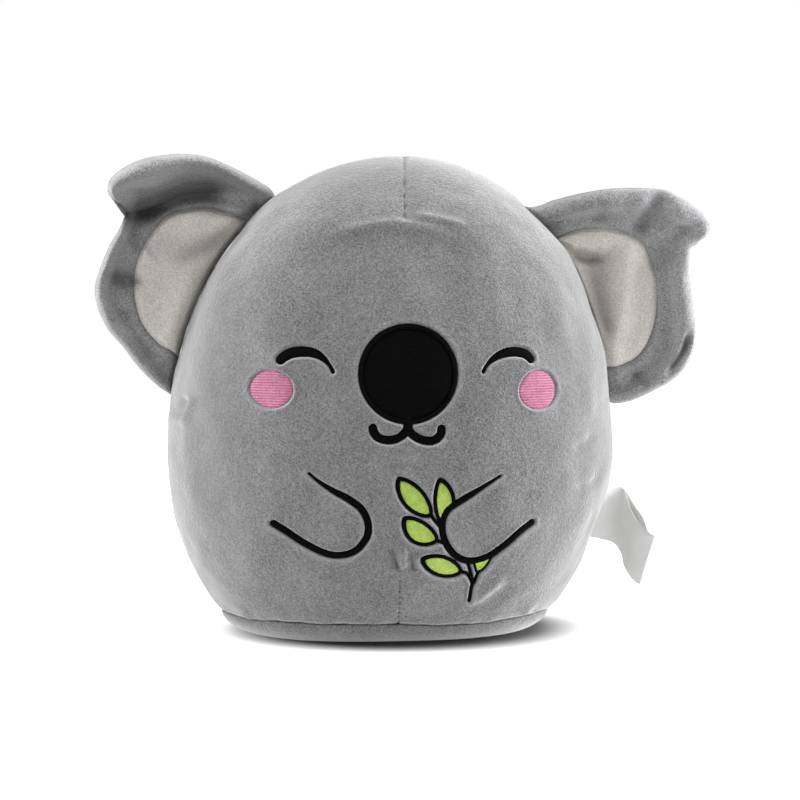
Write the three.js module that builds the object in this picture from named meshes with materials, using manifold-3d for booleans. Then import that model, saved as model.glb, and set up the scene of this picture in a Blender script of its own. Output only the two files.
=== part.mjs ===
// A squashy koala soft toy, about 24 cm tall, in millimetres.
// Its head and body are one stuffed egg sewn from a front, a back and a base panel of short-pile plush.
// Two padded ears are caught in the side seam, the face, paws and leafy sprig are embroidered, and a
// folded care label is caught in the seam on the toy's left.
// The toy stands on Z = 0 and faces -Y, so its left side is +X. The origin is the middle of its base.
import * as THREE from "three";
import { mergeVertices } from "three/addons/utils/BufferGeometryUtils.js";
import Module from "manifold-3d";

const wasm = await Module();
wasm.setup();

// The stuffed egg
const bodyHeight = 240;
const bodyWidth = 223;
const frontDepth = 82; // from the widest plane to the front of the face
const backDepth = 78; // from the widest plane to the middle of the back
const waistHeightShare = 0.396; // where the egg is widest
const hiddenDepth = 26; // how far the egg would reach below the floor if its base weren't flat
const crownLeanWidth = 7; // the crown sits this far to the toy's left of its base
const sectionPower = 2.25; // a level slice is a superellipse, a little squarer than an ellipse
const widthPower = 2.2;
const depthPower = 2.5;
const lowerPower = 2.15;

// Cloth and sewing
const clothThickness = 1.6;
const seamGap = 0.3; // between two pieces that lie on each other
const sideSeamDepth = 14; // the side seam runs this far behind the widest plane
const baseSeamHeight = 9;
const dartWidth = 0.9;
const dartDepth = 0.8;
const upperDartLength = 31; // down the forehead from the crown
const lowerDartLength = 27; // up the belly from the base seam

// Embroidery
const backingThickness = 0.5;
const outlineThickness = 1.1; // how far black satin stitch stands up
const fillThickness = 0.7;
const borderThickness = 1.5;
const mouthLineWidth = 3.2;
const armLineWidth = 2.9;
const leafLineWidth = 2;
const stemLineWidth = 1.7;

// Face. The places are shares of the body's height and width.
const noseRadius = 24;
const noseBorderWidth = 2.4;
const noseLevelShare = 0.5625;
const mouthWidth = 36;
const mouthDepth = 8.5;
const philtrumLength = 4.2;
const eyeWidth = 25;
const eyeArchHeight = 7.4;
const eyeThickness = 5;
const eyeLiftHeight = 3.6; // the outer end of an eye stands this much above its inner one
const eyeSpacingShare = 0.437; // between the middles of the two eyes
const eyeLevelShare = 0.577; // of the line through the ends of an eye
const cheekWidth = 20;
const cheekHeight = 18.4;
const cheekSpacingShare = 0.578;
const cheekLevelShare = 0.529;

// Ears. The root's two ends are shares of the body's height.
const earRootBottomShare = 0.496;
const earRootTopShare = 0.908;
const earWidth = 45; // outwards from the lower end of the root
const earHeight = 120;
const rightEarRimDepth = 24; // how far the top of its edge is rolled forward
const leftEarRimDepth = 17;
const earRootGap = 1.9; // between an ear's edge and the body's cloth
const earSeamGap = 0.8; // between its two layers of cloth at the edge
const earFrontPuffDepth = 3;
const earBackPuffDepth = 5;
const earRimPuffDepth = 2.5;
const earCentreDepth = 2;
const earGrooveWidth = 1.2; // between the lining and the plush round it
const earPaddingGap = 1.6; // clear of the cloth all round

// Care label
const labelWidth = 30;
const labelRootShare = 0.306; // where its upper edge leaves the seam
const labelRootWidth = 28.1; // between its two edges there, upright, as the seam slopes
const labelRootGap = 1.35;
const labelThickness = 0.45;
const labelBulgeDepth = 5; // how far its two layers stand apart at most
const labelFoldGap = 0.5; // and how far at the seam and in the fold

// How finely the curved faces are cut
const sectionSteps = 36;
const upperLevels = 8;
const lowerLevels = 6;
const earSteps = 34;
const earRootSteps = 8;
const lineSteps = 26;
const labelSteps = 10;
const labelWidthSteps = 3;
const overrun = 20; // a cutter stands this far past what it cuts

const colours = {
  plush: 0x949496,
  earPlush: 0x7e7e83,
  lining: 0xd0c9bd,
  black: 0x0d0d0f,
  pink: 0xe27fae,
  green: 0xb2d24f,
  satin: 0xf1f1ec,
  fibre: 0xf4f4f2,
  backing: 0xe9e9e6,
};

function material(colour, roughness) {
  return new THREE.MeshStandardMaterial({ color: colour, roughness, metalness: 0 });
}

const materials = {
  plush: material(colours.plush, 0.95),
  earPlush: material(colours.earPlush, 0.95),
  lining: material(colours.lining, 0.95),
  black: material(colours.black, 0.55),
  pink: material(colours.pink, 0.5),
  green: material(colours.green, 0.5),
  satin: material(colours.satin, 0.4),
  fibre: material(colours.fibre, 1),
  backing: material(colours.backing, 0.9),
};

// Turning three.js geometry into solids that can be cut, and back

function solidOf(geometry) {
  const bare = geometry.clone();
  bare.deleteAttribute("normal");
  bare.deleteAttribute("uv");
  const merged = mergeVertices(bare);
  return new wasm.Manifold(
    new wasm.Mesh({
      numProp: 3,
      vertProperties: merged.attributes.position.array,
      triVerts: new Uint32Array(merged.index.array),
    }),
  );
}

function geometryOf(solid) {
  const mesh = solid.getMesh();
  const geometry = new THREE.BufferGeometry();
  geometry.setAttribute("position", new THREE.BufferAttribute(mesh.vertProperties, mesh.numProp));
  geometry.setIndex(new THREE.BufferAttribute(mesh.triVerts, 1));
  geometry.computeVertexNormals();
  return geometry;
}

const toy = new THREE.Group();

function place(name, solid, finish) {
  const mesh = new THREE.Mesh(geometryOf(solid), finish);
  mesh.name = name;
  toy.add(mesh);
}

// A closed skin over a grid of points. rows holds rings of equal length, and each ring is closed.
// The first and last ring are capped by a fan about their own middle.
function ringedSolid(rows) {
  const count = rows[0].length;
  const positions = rows.flat().flatMap((p) => [p.x, p.y, p.z]);
  const index = [];
  for (let r = 0; r + 1 < rows.length; r += 1) {
    for (let k = 0; k < count; k += 1) {
      const a = r * count + k;
      const b = r * count + ((k + 1) % count);
      index.push(a, b, b + count, a, b + count, a + count);
    }
  }
  const cap = (ring, start, turned) => {
    const middle = ring.reduce((sum, p) => sum.add(p), new THREE.Vector3()).divideScalar(count);
    const centre = positions.length / 3;
    positions.push(middle.x, middle.y, middle.z);
    for (let k = 0; k < count; k += 1) {
      const a = start + k;
      const b = start + ((k + 1) % count);
      index.push(...(turned ? [centre, b, a] : [centre, a, b]));
    }
  };
  cap(rows[0], 0, true);
  cap(rows[rows.length - 1], (rows.length - 1) * count, false);
  const geometry = new THREE.BufferGeometry();
  geometry.setAttribute("position", new THREE.Float32BufferAttribute(positions, 3));
  geometry.setIndex(index);
  return geometry;
}

const waistHeight = waistHeightShare * bodyHeight;
const noseLevel = noseLevelShare * bodyHeight;
const eyeLevel = eyeLevelShare * bodyHeight;
const cheekLevel = cheekLevelShare * bodyHeight;

// The egg. Its half-width and half-depths at height z follow superellipses about the waist, one above
// it and one below. grow moves the whole surface out along its axes, or in when it is negative.

function profile(z, grow, upperPower) {
  if (z >= waistHeight) {
    const share = Math.min(1, (z - waistHeight) / (bodyHeight - waistHeight + grow));
    return Math.sqrt(1 - share ** upperPower);
  }
  const share = (waistHeight - z) / (waistHeight + hiddenDepth + grow);
  return Math.sqrt(1 - share ** lowerPower);
}

const lean = (z) => (crownLeanWidth * z) / bodyHeight;

function bodyPoint(z, angle, grow) {
  const halfWidth = (bodyWidth / 2 + grow) * profile(z, grow, widthPower);
  const depth = Math.sin(angle) < 0 ? frontDepth : backDepth;
  const halfDepth = (depth + grow) * profile(z, grow, depthPower);
  const across = Math.sign(Math.cos(angle)) * Math.abs(Math.cos(angle)) ** (2 / sectionPower);
  const along = Math.sign(Math.sin(angle)) * Math.abs(Math.sin(angle)) ** (2 / sectionPower);
  return new THREE.Vector3(lean(z) + halfWidth * across, halfDepth * along, z);
}

// The height of each level, closer together towards the crown where the egg turns over. Solids of
// different size share their levels, so that their facets lie along each other.
function bodyLevels(grow, floor) {
  const levels = floor < 0 ? [floor] : [];
  for (let k = 0; k < lowerLevels; k += 1) {
    levels.push(k === 0 ? Math.max(floor, 0) : (waistHeight * k) / lowerLevels);
  }
  for (let k = 0; k < upperLevels; k += 1) {
    const share = Math.sin((k / upperLevels) * (Math.PI / 2)) ** (2 / widthPower);
    levels.push(waistHeight + (bodyHeight - waistHeight + grow) * share);
  }
  return levels;
}

function bodySolid(grow, floor) {
  const rings = bodyLevels(grow, floor).map((z) =>
    Array.from({ length: sectionSteps }, (_, k) => bodyPoint(z, (k / sectionSteps) * 2 * Math.PI, grow)),
  );
  const crown = bodyHeight + grow;
  rings.push(rings[0].map(() => new THREE.Vector3(lean(crown), 0, crown)));
  return solidOf(ringedSolid(rings));
}

// What lies between two surfaces that follow the egg, from the distance low outside its cloth to high
function layer(low, high) {
  return bodySolid(high, -overrun).subtract(bodySolid(low, -overrun));
}

// Where the side seam runs at height z, on the toy's left for side 1 and on its right for side -1,
// seen from the front and standOff away from the cloth
function seamPoint(z, side, standOff) {
  const onSeam = (level) => {
    const halfWidth = (bodyWidth / 2) * profile(level, 0, widthPower);
    const halfDepth = backDepth * profile(level, 0, depthPower);
    const across = (1 - (sideSeamDepth / halfDepth) ** sectionPower) ** (1 / sectionPower);
    return new THREE.Vector2(lean(level) + side * halfWidth * across, level);
  };
  const along = onSeam(z + seamGap).sub(onSeam(z - seamGap)).normalize();
  const outward = new THREE.Vector2(along.y, -along.x).multiplyScalar(side);
  return onSeam(z).addScaledVector(outward, standOff);
}

function box(low, high) {
  const size = new THREE.Vector3().subVectors(high, low);
  const middle = new THREE.Vector3().addVectors(low, high).multiplyScalar(1 / 2);
  return new THREE.BoxGeometry(size.x, size.y, size.z).translate(middle.x, middle.y, middle.z);
}

// Panels, filling and the darts that draw the cloth in

const reachX = bodyWidth / 2 + crownLeanWidth + overrun;
const reachFront = -frontDepth - overrun;
const reachBack = backDepth + overrun;
const reachTop = bodyHeight + overrun;

function dartCutter(fromHeight, toHeight) {
  const slot = box(
    new THREE.Vector3(-dartWidth / 2, reachFront, fromHeight),
    new THREE.Vector3(dartWidth / 2, sideSeamDepth, toHeight),
  );
  slot.rotateY(Math.atan2(crownLeanWidth, bodyHeight));
  return solidOf(slot).intersect(layer(-dartDepth, overrun));
}

const backDart = (cutter) => cutter.mirror([0, 1, 0]);

function makeBody() {
  const cover = bodySolid(0, 0).subtract(bodySolid(-clothThickness, clothThickness));
  const aboveBase = baseSeamHeight + seamGap / 2;
  const front = solidOf(
    box(
      new THREE.Vector3(-reachX, reachFront, aboveBase),
      new THREE.Vector3(reachX, sideSeamDepth - seamGap / 2, reachTop),
    ),
  );
  const back = solidOf(
    box(
      new THREE.Vector3(-reachX, sideSeamDepth + seamGap / 2, aboveBase),
      new THREE.Vector3(reachX, reachBack, reachTop),
    ),
  );
  const base = solidOf(
    box(
      new THREE.Vector3(-reachX, reachFront, -overrun),
      new THREE.Vector3(reachX, reachBack, baseSeamHeight - seamGap / 2),
    ),
  );
  const upperDart = dartCutter(bodyHeight - upperDartLength, reachTop);
  const lowerDart = dartCutter(-overrun, baseSeamHeight + lowerDartLength);
  const inset = clothThickness + 2 * seamGap + backingThickness;
  place("front_panel", cover.intersect(front).subtract(upperDart).subtract(lowerDart), materials.plush);
  place("back_panel", cover.intersect(back).subtract(backDart(lowerDart)), materials.plush);
  place("base_panel", cover.intersect(base), materials.plush);
  place("body_filling", bodySolid(-inset, clothThickness + seamGap), materials.fibre);
}

// Embroidery. A flat figure is drawn on the face, seen from the front, and is cut out of a thin layer
// that follows the cloth. faceX and faceZ turn shares of the body's width and height into a place.

const faceX = (xShare, zShare) => xShare * bodyWidth + crownLeanWidth * zShare;
const faceZ = (zShare) => zShare * bodyHeight;

function facePoints(shares) {
  return shares.map(([xShare, zShare]) => new THREE.Vector2(faceX(xShare, zShare), faceZ(zShare)));
}

// A flat figure drawn from in front of the face back to the depth far
function prism(points, far = 0) {
  const outline = new THREE.Shape(points);
  const depth = frontDepth + overrun + far;
  const solid = new THREE.ExtrudeGeometry(outline, { depth, bevelEnabled: false });
  return solidOf(solid.rotateX(Math.PI / 2).translate(0, far, 0));
}

const stitchLayer = (height) => layer(seamGap, seamGap + height);

// A line of stitches along a smooth curve. halfWidth(t) gives half its width from end to end, and both
// ends are rounded.
function stitchLine(points, halfWidth, steps) {
  const curve = new THREE.SplineCurve(points);
  const left = [];
  const right = [];
  for (let k = 0; k <= steps; k += 1) {
    const t = k / steps;
    const point = curve.getPointAt(t);
    const along = curve.getTangentAt(t);
    const normal = new THREE.Vector2(-along.y, along.x).multiplyScalar(halfWidth(t));
    left.push(point.clone().add(normal));
    right.push(point.clone().sub(normal));
  }
  const nose = (point, along, size) => point.clone().addScaledVector(along, size);
  const start = nose(curve.getPointAt(0), curve.getTangentAt(0), -halfWidth(0));
  const end = nose(curve.getPointAt(1), curve.getTangentAt(1), halfWidth(1));
  return [start, ...right, end, ...left.reverse()];
}

const evenLine = (width) => () => width / 2;

function ellipse(centreX, centreZ, halfWidth, halfHeight, steps) {
  return Array.from({ length: steps }, (_, k) => {
    const angle = (k / steps) * 2 * Math.PI;
    return new THREE.Vector2(centreX + halfWidth * Math.cos(angle), centreZ + halfHeight * Math.sin(angle));
  });
}

function makeNose() {
  const x = lean(noseLevel);
  const round = (radius) => prism(ellipse(x, noseLevel, radius, radius, lineSteps + lineSteps / 2));
  const inner = noseRadius - noseBorderWidth;
  place("nose_patch", stitchLayer(outlineThickness).intersect(round(inner - seamGap)), materials.black);
  const ring = round(noseRadius).subtract(round(inner));
  place("nose_border", stitchLayer(borderThickness).intersect(ring), materials.black);
}

// Two hanging arcs that meet under the nose, with a short line up to it. Each arc is half an ellipse.
function makeMouth() {
  const x = lean(noseLevel);
  const top = noseLevel - noseRadius - seamGap;
  const join = top - philtrumLength;
  const arc = (side) => {
    const radius = (mouthWidth - mouthLineWidth) / 4;
    const points = Array.from({ length: lineSteps / 2 + 1 }, (_, k) => {
      const angle = (k / (lineSteps / 2)) * Math.PI;
      const drop = mouthDepth * Math.sin(angle);
      return new THREE.Vector2(x + side * radius * (1 - Math.cos(angle)), join + mouthLineWidth / 2 - drop);
    });
    return prism(stitchLine(points, evenLine(mouthLineWidth), lineSteps / 2));
  };
  const philtrum = box(
    new THREE.Vector3(x - mouthLineWidth / 2, reachFront, join - mouthLineWidth / 2),
    new THREE.Vector3(x + mouthLineWidth / 2, 0, top),
  );
  const figure = arc(1).add(arc(-1)).add(solidOf(philtrum));
  const clear = prism(ellipse(x, noseLevel, noseRadius + seamGap, noseRadius + seamGap, 2 * lineSteps));
  place("mouth_stitching", stitchLayer(outlineThickness).intersect(figure.subtract(clear)), materials.black);
}

// A shut eye is an arched crescent, thickest over its outer half and pointed towards the nose.
function makeEye(side, name) {
  const middle = lean(eyeLevel) + (side * eyeSpacingShare * bodyWidth) / 2;
  const points = Array.from({ length: lineSteps / 2 + 1 }, (_, k) => {
    const t = k / (lineSteps / 2);
    const rise = eyeArchHeight * Math.sin(Math.PI * t) ** 0.8 - eyeLiftHeight * (t - 1 / 2);
    return new THREE.Vector2(middle + side * eyeWidth * (1 / 2 - t), eyeLevel + rise);
  });
  const blunt = 0.62;
  const halfWidth = (t) => (eyeThickness / 2) * (blunt + (1 - blunt) * Math.sin(Math.PI * t)) * (1 - t ** 3);
  const tip = mouthLineWidth / 10;
  const crescent = stitchLine(points, (t) => Math.max(tip, halfWidth(t)), lineSteps / 2);
  place(name, stitchLayer(outlineThickness).intersect(prism(crescent)), materials.black);
}

function makeCheek(side, name) {
  const middle = lean(cheekLevel) + (side * cheekSpacingShare * bodyWidth) / 2;
  const disc = prism(ellipse(middle, cheekLevel, cheekWidth / 2, cheekHeight / 2, lineSteps));
  place(name, stitchLayer(fillThickness).intersect(disc), materials.pink);
}

// Each paw is one looped line, from the upper end round the tip of the paw to the lower end.
const rightArmShares = [
  [-0.204, 0.366],
  [-0.17, 0.34],
  [-0.127, 0.313],
  [-0.096, 0.293],
  [-0.079, 0.268],
  [-0.078, 0.243],
  [-0.091, 0.219],
  [-0.117, 0.2],
  [-0.147, 0.195],
  [-0.178, 0.202],
  [-0.213, 0.219],
  [-0.247, 0.239],
  [-0.279, 0.262],
];
const leftArmShares = [
  [0.208, 0.356],
  [0.161, 0.329],
  [0.122, 0.307],
  [0.095, 0.289],
  [0.085, 0.263],
  [0.09, 0.232],
  [0.106, 0.205],
  [0.131, 0.186],
  [0.162, 0.181],
  [0.193, 0.19],
  [0.226, 0.212],
  [0.258, 0.239],
  [0.286, 0.257],
];

// The line is fine at its upper end and full from the paw on.
const armHalfWidth = (spread) => (t) => (armLineWidth / 2) * Math.min(1, 0.45 + 1.9 * t) + spread;

// Leaves, each from its tip to its foot. The two bulges are shares of the leaf's own length, first the
// one on the right of the way from the tip to the foot. The last leaf, half behind the paw, has a finer
// line.
const leafShares = {
  leaf_1: { tip: [-0.0186, 0.3583], foot: [0.0609, 0.2753], bulges: [0.255, 0.2] },
  leaf_2: { tip: [0.075, 0.3573], foot: [0.0844, 0.2561], bulges: [0.16, 0.29] },
  leaf_3: { tip: [-0.0036, 0.2768], foot: [0.0791, 0.2238], bulges: [0.35, 0.2] },
  leaf_4: { tip: [0.0387, 0.1896], foot: [0.1377, 0.1569], bulges: [0.247, 0.235] },
  leaf_5: { tip: [0.1768, 0.2535], foot: [0.1709, 0.1526], bulges: [0.151, 0.274], lineShare: 0.65 },
};
const stemShares = {
  main: [
    [0.1449, 0.1824],
    [0.1546, 0.1579],
    [0.16, 0.138],
    [0.1589, 0.1169],
    [0.1571, 0.0956],
  ],
  toLeaf1: [
    [0.0596, 0.2787],
    [0.0696, 0.2663],
    [0.0822, 0.2528],
  ],
  toLeaf3: [
    [0.073, 0.2273],
    [0.0851, 0.2225],
    [0.097, 0.222],
  ],
  toLeaf4: [
    [0.1365, 0.1575],
    [0.1477, 0.1536],
    [0.1585, 0.138],
  ],
  toLeaf5: [
    [0.1713, 0.1538],
    [0.1654, 0.1377],
    [0.159, 0.1251],
  ],
};

// A pointed leaf: its edges are two arcs from the tip to the foot. inset draws the edges in.
function leafOutline(leaf, inset) {
  const [tip, foot] = facePoints([leaf.tip, leaf.foot]);
  const along = foot.clone().sub(tip);
  const length = along.length();
  along.divideScalar(length);
  const normal = new THREE.Vector2(along.y, -along.x);
  const [tipInset, footInset] = [1.8 * inset, 1.3 * inset];
  const edge = (side, bulge) =>
    Array.from({ length: lineSteps / 2 }, (_, k) => {
      const t = (k + 1 / 2) / (lineSteps / 2);
      const out = side * (bulge * length - inset) * Math.sin(Math.PI * t) ** 0.6;
      return tip
        .clone()
        .addScaledVector(along, tipInset + (length - tipInset - footInset) * t)
        .addScaledVector(normal, out);
    });
  const end = (distance) => tip.clone().addScaledVector(along, distance);
  const [first, second] = leaf.bulges;
  return [end(tipInset), ...edge(-1, second), end(length - footInset), ...edge(1, first).reverse()];
}

function makePawsAndSprig() {
  const stitches = stitchLayer(outlineThickness);
  const rightArm = stitchLine(facePoints(rightArmShares), armHalfWidth(0), lineSteps);
  place("right_arm_outline", stitches.intersect(prism(rightArm)), materials.black);

  const leftCurve = facePoints(leftArmShares);
  const leftArm = (spread) => prism(stitchLine(leftCurve, armHalfWidth(spread), lineSteps));
  const paw = prism(leftCurve);
  let outline = null;
  for (const [name, leaf] of Object.entries(leafShares)) {
    const lineWidth = (leaf.lineShare ?? 1) * leafLineWidth;
    const blade = prism(leafOutline(leaf, 0));
    const ring = blade.subtract(prism(leafOutline(leaf, lineWidth))).subtract(paw);
    outline = outline ? outline.add(ring) : ring;
    const fill = prism(leafOutline(leaf, lineWidth + seamGap)).subtract(paw).subtract(leftArm(seamGap));
    place(name, stitchLayer(fillThickness).intersect(fill), materials.green);
  }
  for (const shares of Object.values(stemShares)) {
    const stem = stitchLine(facePoints(shares), evenLine(stemLineWidth), lineSteps / 2);
    outline = outline.add(prism(stem).subtract(paw));
  }
  place("left_arm_and_sprig_outline", stitches.intersect(outline.add(leftArm(0))), materials.black);
}

// A sheet of stiffener behind all the stitching, between the cloth and the filling
const backingShares = { halfWidthShare: 0.385, bottomShare: 0.075, topShare: 0.7 };

function makeBacking() {
  const bottom = faceZ(backingShares.bottomShare);
  const top = faceZ(backingShares.topShare);
  const middle = (bottom + top) / 2;
  const halfWidth = backingShares.halfWidthShare * bodyWidth;
  const sheet = prism(ellipse(lean(middle), middle, halfWidth, (top - bottom) / 2, lineSteps));
  const outer = -clothThickness - seamGap;
  place("embroidery_backing", layer(outer - backingThickness, outer).intersect(sheet), materials.backing);
}

// Ears. Each is a padded bowl of two plush layers, sewn into the side seam along its root.
// Outlines are seen from the front, as shares of earWidth outwards and of earHeight up from the lower
// end of the root. The root itself follows the body.
const earForms = {
  right: {
    side: -1,
    centreShare: [0.06, 0.49],
    rimDepth: rightEarRimDepth,
    lowRimShare: 0.3, // of that depth along the lower edge
    outlineShares: [
      [0.27, 0.056],
      [0.46, 0.123],
      [0.62, 0.22],
      [0.79, 0.324],
      [0.87, 0.43],
      [0.83, 0.533],
      [0.72, 0.617],
      [0.6, 0.69],
      [0.545, 0.75],
      [0.67, 0.8],
      [0.72, 0.853],
      [0.675, 0.903],
      [0.53, 0.95],
      [0.31, 0.987],
      [0.087, 1.003],
      [-0.19, 0.995],
      [-0.467, 0.97],
      [-0.745, 0.924],
      [-0.99, 0.874],
    ],
    patchShares: [
      [-0.3, 0.12],
      [-0.011, 0.156],
      [0.21, 0.22],
      [0.353, 0.324],
      [0.396, 0.449],
      [0.316, 0.616],
      [0.147, 0.72],
      [-0.076, 0.774],
      [-0.464, 0.79],
      [-0.85, 0.745],
      [-1.15, 0.69],
    ],
  },
  left: {
    side: 1,
    centreShare: [0.17, 0.42],
    rimDepth: leftEarRimDepth,
    lowRimShare: 0.55,
    outlineShares: [
      [0.2, -0.015],
      [0.424, 0.008],
      [0.656, 0.059],
      [0.884, 0.122],
      [1.0, 0.207],
      [1.02, 0.314],
      [0.993, 0.442],
      [0.945, 0.57],
      [0.967, 0.642],
      [1.104, 0.689],
      [1.138, 0.732],
      [1.044, 0.783],
      [0.755, 0.846],
      [0.411, 0.88],
      [-0.047, 0.88],
      [-0.504, 0.838],
      [-0.8, 0.81],
    ],
    patchShares: [
      [-0.2, 0.1],
      [0.193, 0.124],
      [0.422, 0.166],
      [0.593, 0.251],
      [0.649, 0.4],
      [0.589, 0.549],
      [0.358, 0.655],
      [0.069, 0.697],
      [-0.273, 0.707],
      [-0.58, 0.672],
      [-1, 0.6],
    ],
  },
};

const earRootBottom = earRootBottomShare * bodyHeight;
const earRootTop = earRootTopShare * bodyHeight;

// The root of an ear along the seam, from its upper end to its lower one
function earRoot(side, standOff, steps) {
  const samples = Array.from({ length: 2 * steps + 1 }, (_, k) =>
    seamPoint(earRootTop + ((earRootBottom - earRootTop) * k) / (2 * steps), side, standOff),
  );
  return new THREE.SplineCurve(samples).getSpacedPoints(steps);
}

function earCurve(form, shares) {
  const foot = seamPoint(earRootBottom, form.side, earRootGap);
  return shares.map(
    ([outShare, upShare]) =>
      new THREE.Vector2(foot.x + form.side * outShare * earWidth, foot.y + upShare * earHeight),
  );
}

// The middle sheet of an ear and the outer face of each layer of cloth over it. spoke counts the points
// round the edge, and share runs from 0 at the ear's centre to 1 at its edge.
class EarShape {
  constructor(form) {
    this.form = form;
    const root = earRoot(form.side, earRootGap, earRootSteps);
    const edge = [root[earRootSteps], ...earCurve(form, form.outlineShares), root[0]];
    const rim = new THREE.SplineCurve(edge).getSpacedPoints(earSteps - earRootSteps);
    this.outline = [...rim.slice(0, -1), ...root.slice(0, -1)];
    this.centre = earCurve(form, [form.centreShare])[0];
    this.root = root;
  }

  fromRoot(p) {
    return Math.min(...this.root.map((q) => p.distanceTo(q))) / earWidth;
  }

  // How far the edge stands forward of the seam: nothing at the root, most at the top
  rise(spoke) {
    const p = this.outline[spoke];
    const out = this.fromRoot(p);
    const up = THREE.MathUtils.smoothstep((p.y - earRootBottom) / earHeight, 0.3, 1);
    const low = this.form.lowRimShare;
    return this.form.rimDepth * Math.min(1, out * 1.2) * (low + (1 - low) * up);
  }

  middle(spoke, share) {
    const p = this.centre.clone().lerp(this.outline[spoke], share);
    const forward = this.rise(spoke) * share ** 2.4 + earCentreDepth * (1 - share ** 2);
    return new THREE.Vector3(p.x, sideSeamDepth - forward, p.y);
  }

  normal(spoke, share) {
    const count = this.outline.length;
    const step = 0.02;
    const reach = Math.max(share, step);
    const radial = this.middle(spoke, reach).sub(this.middle(spoke, reach - step));
    const next = this.middle((spoke + 1) % count, reach);
    const around = next.sub(this.middle((spoke + count - 1) % count, reach));
    const normal = radial.cross(around).normalize();
    if (share === 0) normal.set(0, -1, 0);
    return normal.y > 0 ? normal.negate() : normal;
  }

  // Puffed out between the centre and the edge, and flat at the edge and along the root. isFront picks
  // the layer that faces the viewer, and inset goes into it, but never quite to the middle sheet.
  face(spoke, share, isFront, inset) {
    const spread = this.centre.clone().lerp(this.outline[spoke], share);
    const pillow = Math.sqrt(1 - share ** 4) * Math.min(1, 2 * this.fromRoot(spread));
    const lip = Math.exp(-(((share - 0.78) / 0.2) ** 2)) * (this.rise(spoke) / this.form.rimDepth);
    const puff = isFront ? earFrontPuffDepth + earRimPuffDepth * lip : earBackPuffDepth;
    const height = Math.max(earSeamGap / 8, earSeamGap / 2 + clothThickness + puff * pillow - inset);
    return this.middle(spoke, share).addScaledVector(this.normal(spoke, share), isFront ? height : -height);
  }
}

// A closed disc between two faces. Each face gives a point for a spoke and a share.
function discSolid(spokes, shares, front, back) {
  const ring = (face) => (share) => Array.from({ length: spokes }, (_, k) => face(k, share));
  const rows = [...shares.map(ring(front)), ...[...shares].reverse().map(ring(back))];
  const solid = solidOf(ringedSolid(rows));
  return solid.volume() > 0 ? solid : solidOf(ringedSolid(rows.reverse()));
}

const earShares = [0, 0.3, 0.55, 0.75, 0.88, 1];

function makeEar(sideName) {
  const form = earForms[sideName];
  const ear = new EarShape(form);
  const front = (inset) => (spoke, share) => ear.face(spoke, share, true, inset);
  const back = (inset) => (spoke, share) => ear.face(spoke, share, false, inset);
  const sheet = (outer, inner, shares) => discSolid(earSteps, shares, outer, inner);
  const frontSheet = sheet(front(0), front(clothThickness), earShares);
  const backSheet = sheet(back(0), back(clothThickness), earShares);
  const patchEdge = earCurve(form, form.patchShares);
  const behind = sideSeamDepth + overrun;
  const patch = prism(new THREE.SplineCurve(patchEdge).getPoints(2 * lineSteps), behind);
  const groove = prism(stitchLine(patchEdge, evenLine(earGrooveWidth), lineSteps), behind);
  const inside = clothThickness + earPaddingGap;
  const padding = sheet(front(inside), back(inside), earShares.slice(0, -1));
  const name = (piece) => `${sideName}_ear_${piece}`;
  place(name("lining"), frontSheet.intersect(patch).subtract(groove), materials.lining);
  place(name("rim"), frontSheet.subtract(patch).subtract(groove), materials.earPlush);
  place(name("back"), backSheet, materials.earPlush);
  place(name("padding"), padding, materials.fibre);
}

// The care label is a ribbon folded in two. Its front layer leaves the seam, turns forward, and comes
// back behind itself from the fold at its free end. Both long edges are given from the seam to the
// fold, as shares of the width outwards, backwards and up from the edge's own place in the seam.
const labelUpperShares = [
  [0, 0, 0],
  [0.19, 0, -0.03],
  [0.367, 0.067, -0.063],
  [0.487, 0.083, -0.113],
  [0.537, 0, -0.203],
  [0.55, -0.3, -0.413],
  [0.613, -0.633, -0.607],
  [0.703, -0.9, -0.76],
  [0.83, -1.067, -0.833],
];
const labelLowerShares = [
  [0, 0, 0],
  [0.167, 0, -0.027],
  [0.357, 0.067, -0.073],
  [0.6, 0.117, -0.153],
  [0.727, 0.017, -0.313],
  [0.737, -0.167, -0.507],
  [0.803, -0.317, -0.657],
  [0.877, -0.433, -0.75],
  [0.933, -0.533, -0.783],
];

function labelEdge(shares, rootHeight, steps) {
  const root = seamPoint(rootHeight, 1, labelRootGap);
  const points = shares.map(([out, back, up]) =>
    new THREE.Vector3(out, back, up)
      .multiplyScalar(labelWidth)
      .add(new THREE.Vector3(root.x, sideSeamDepth, root.y)),
  );
  return new THREE.CatmullRomCurve3(points).getSpacedPoints(steps);
}

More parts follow.
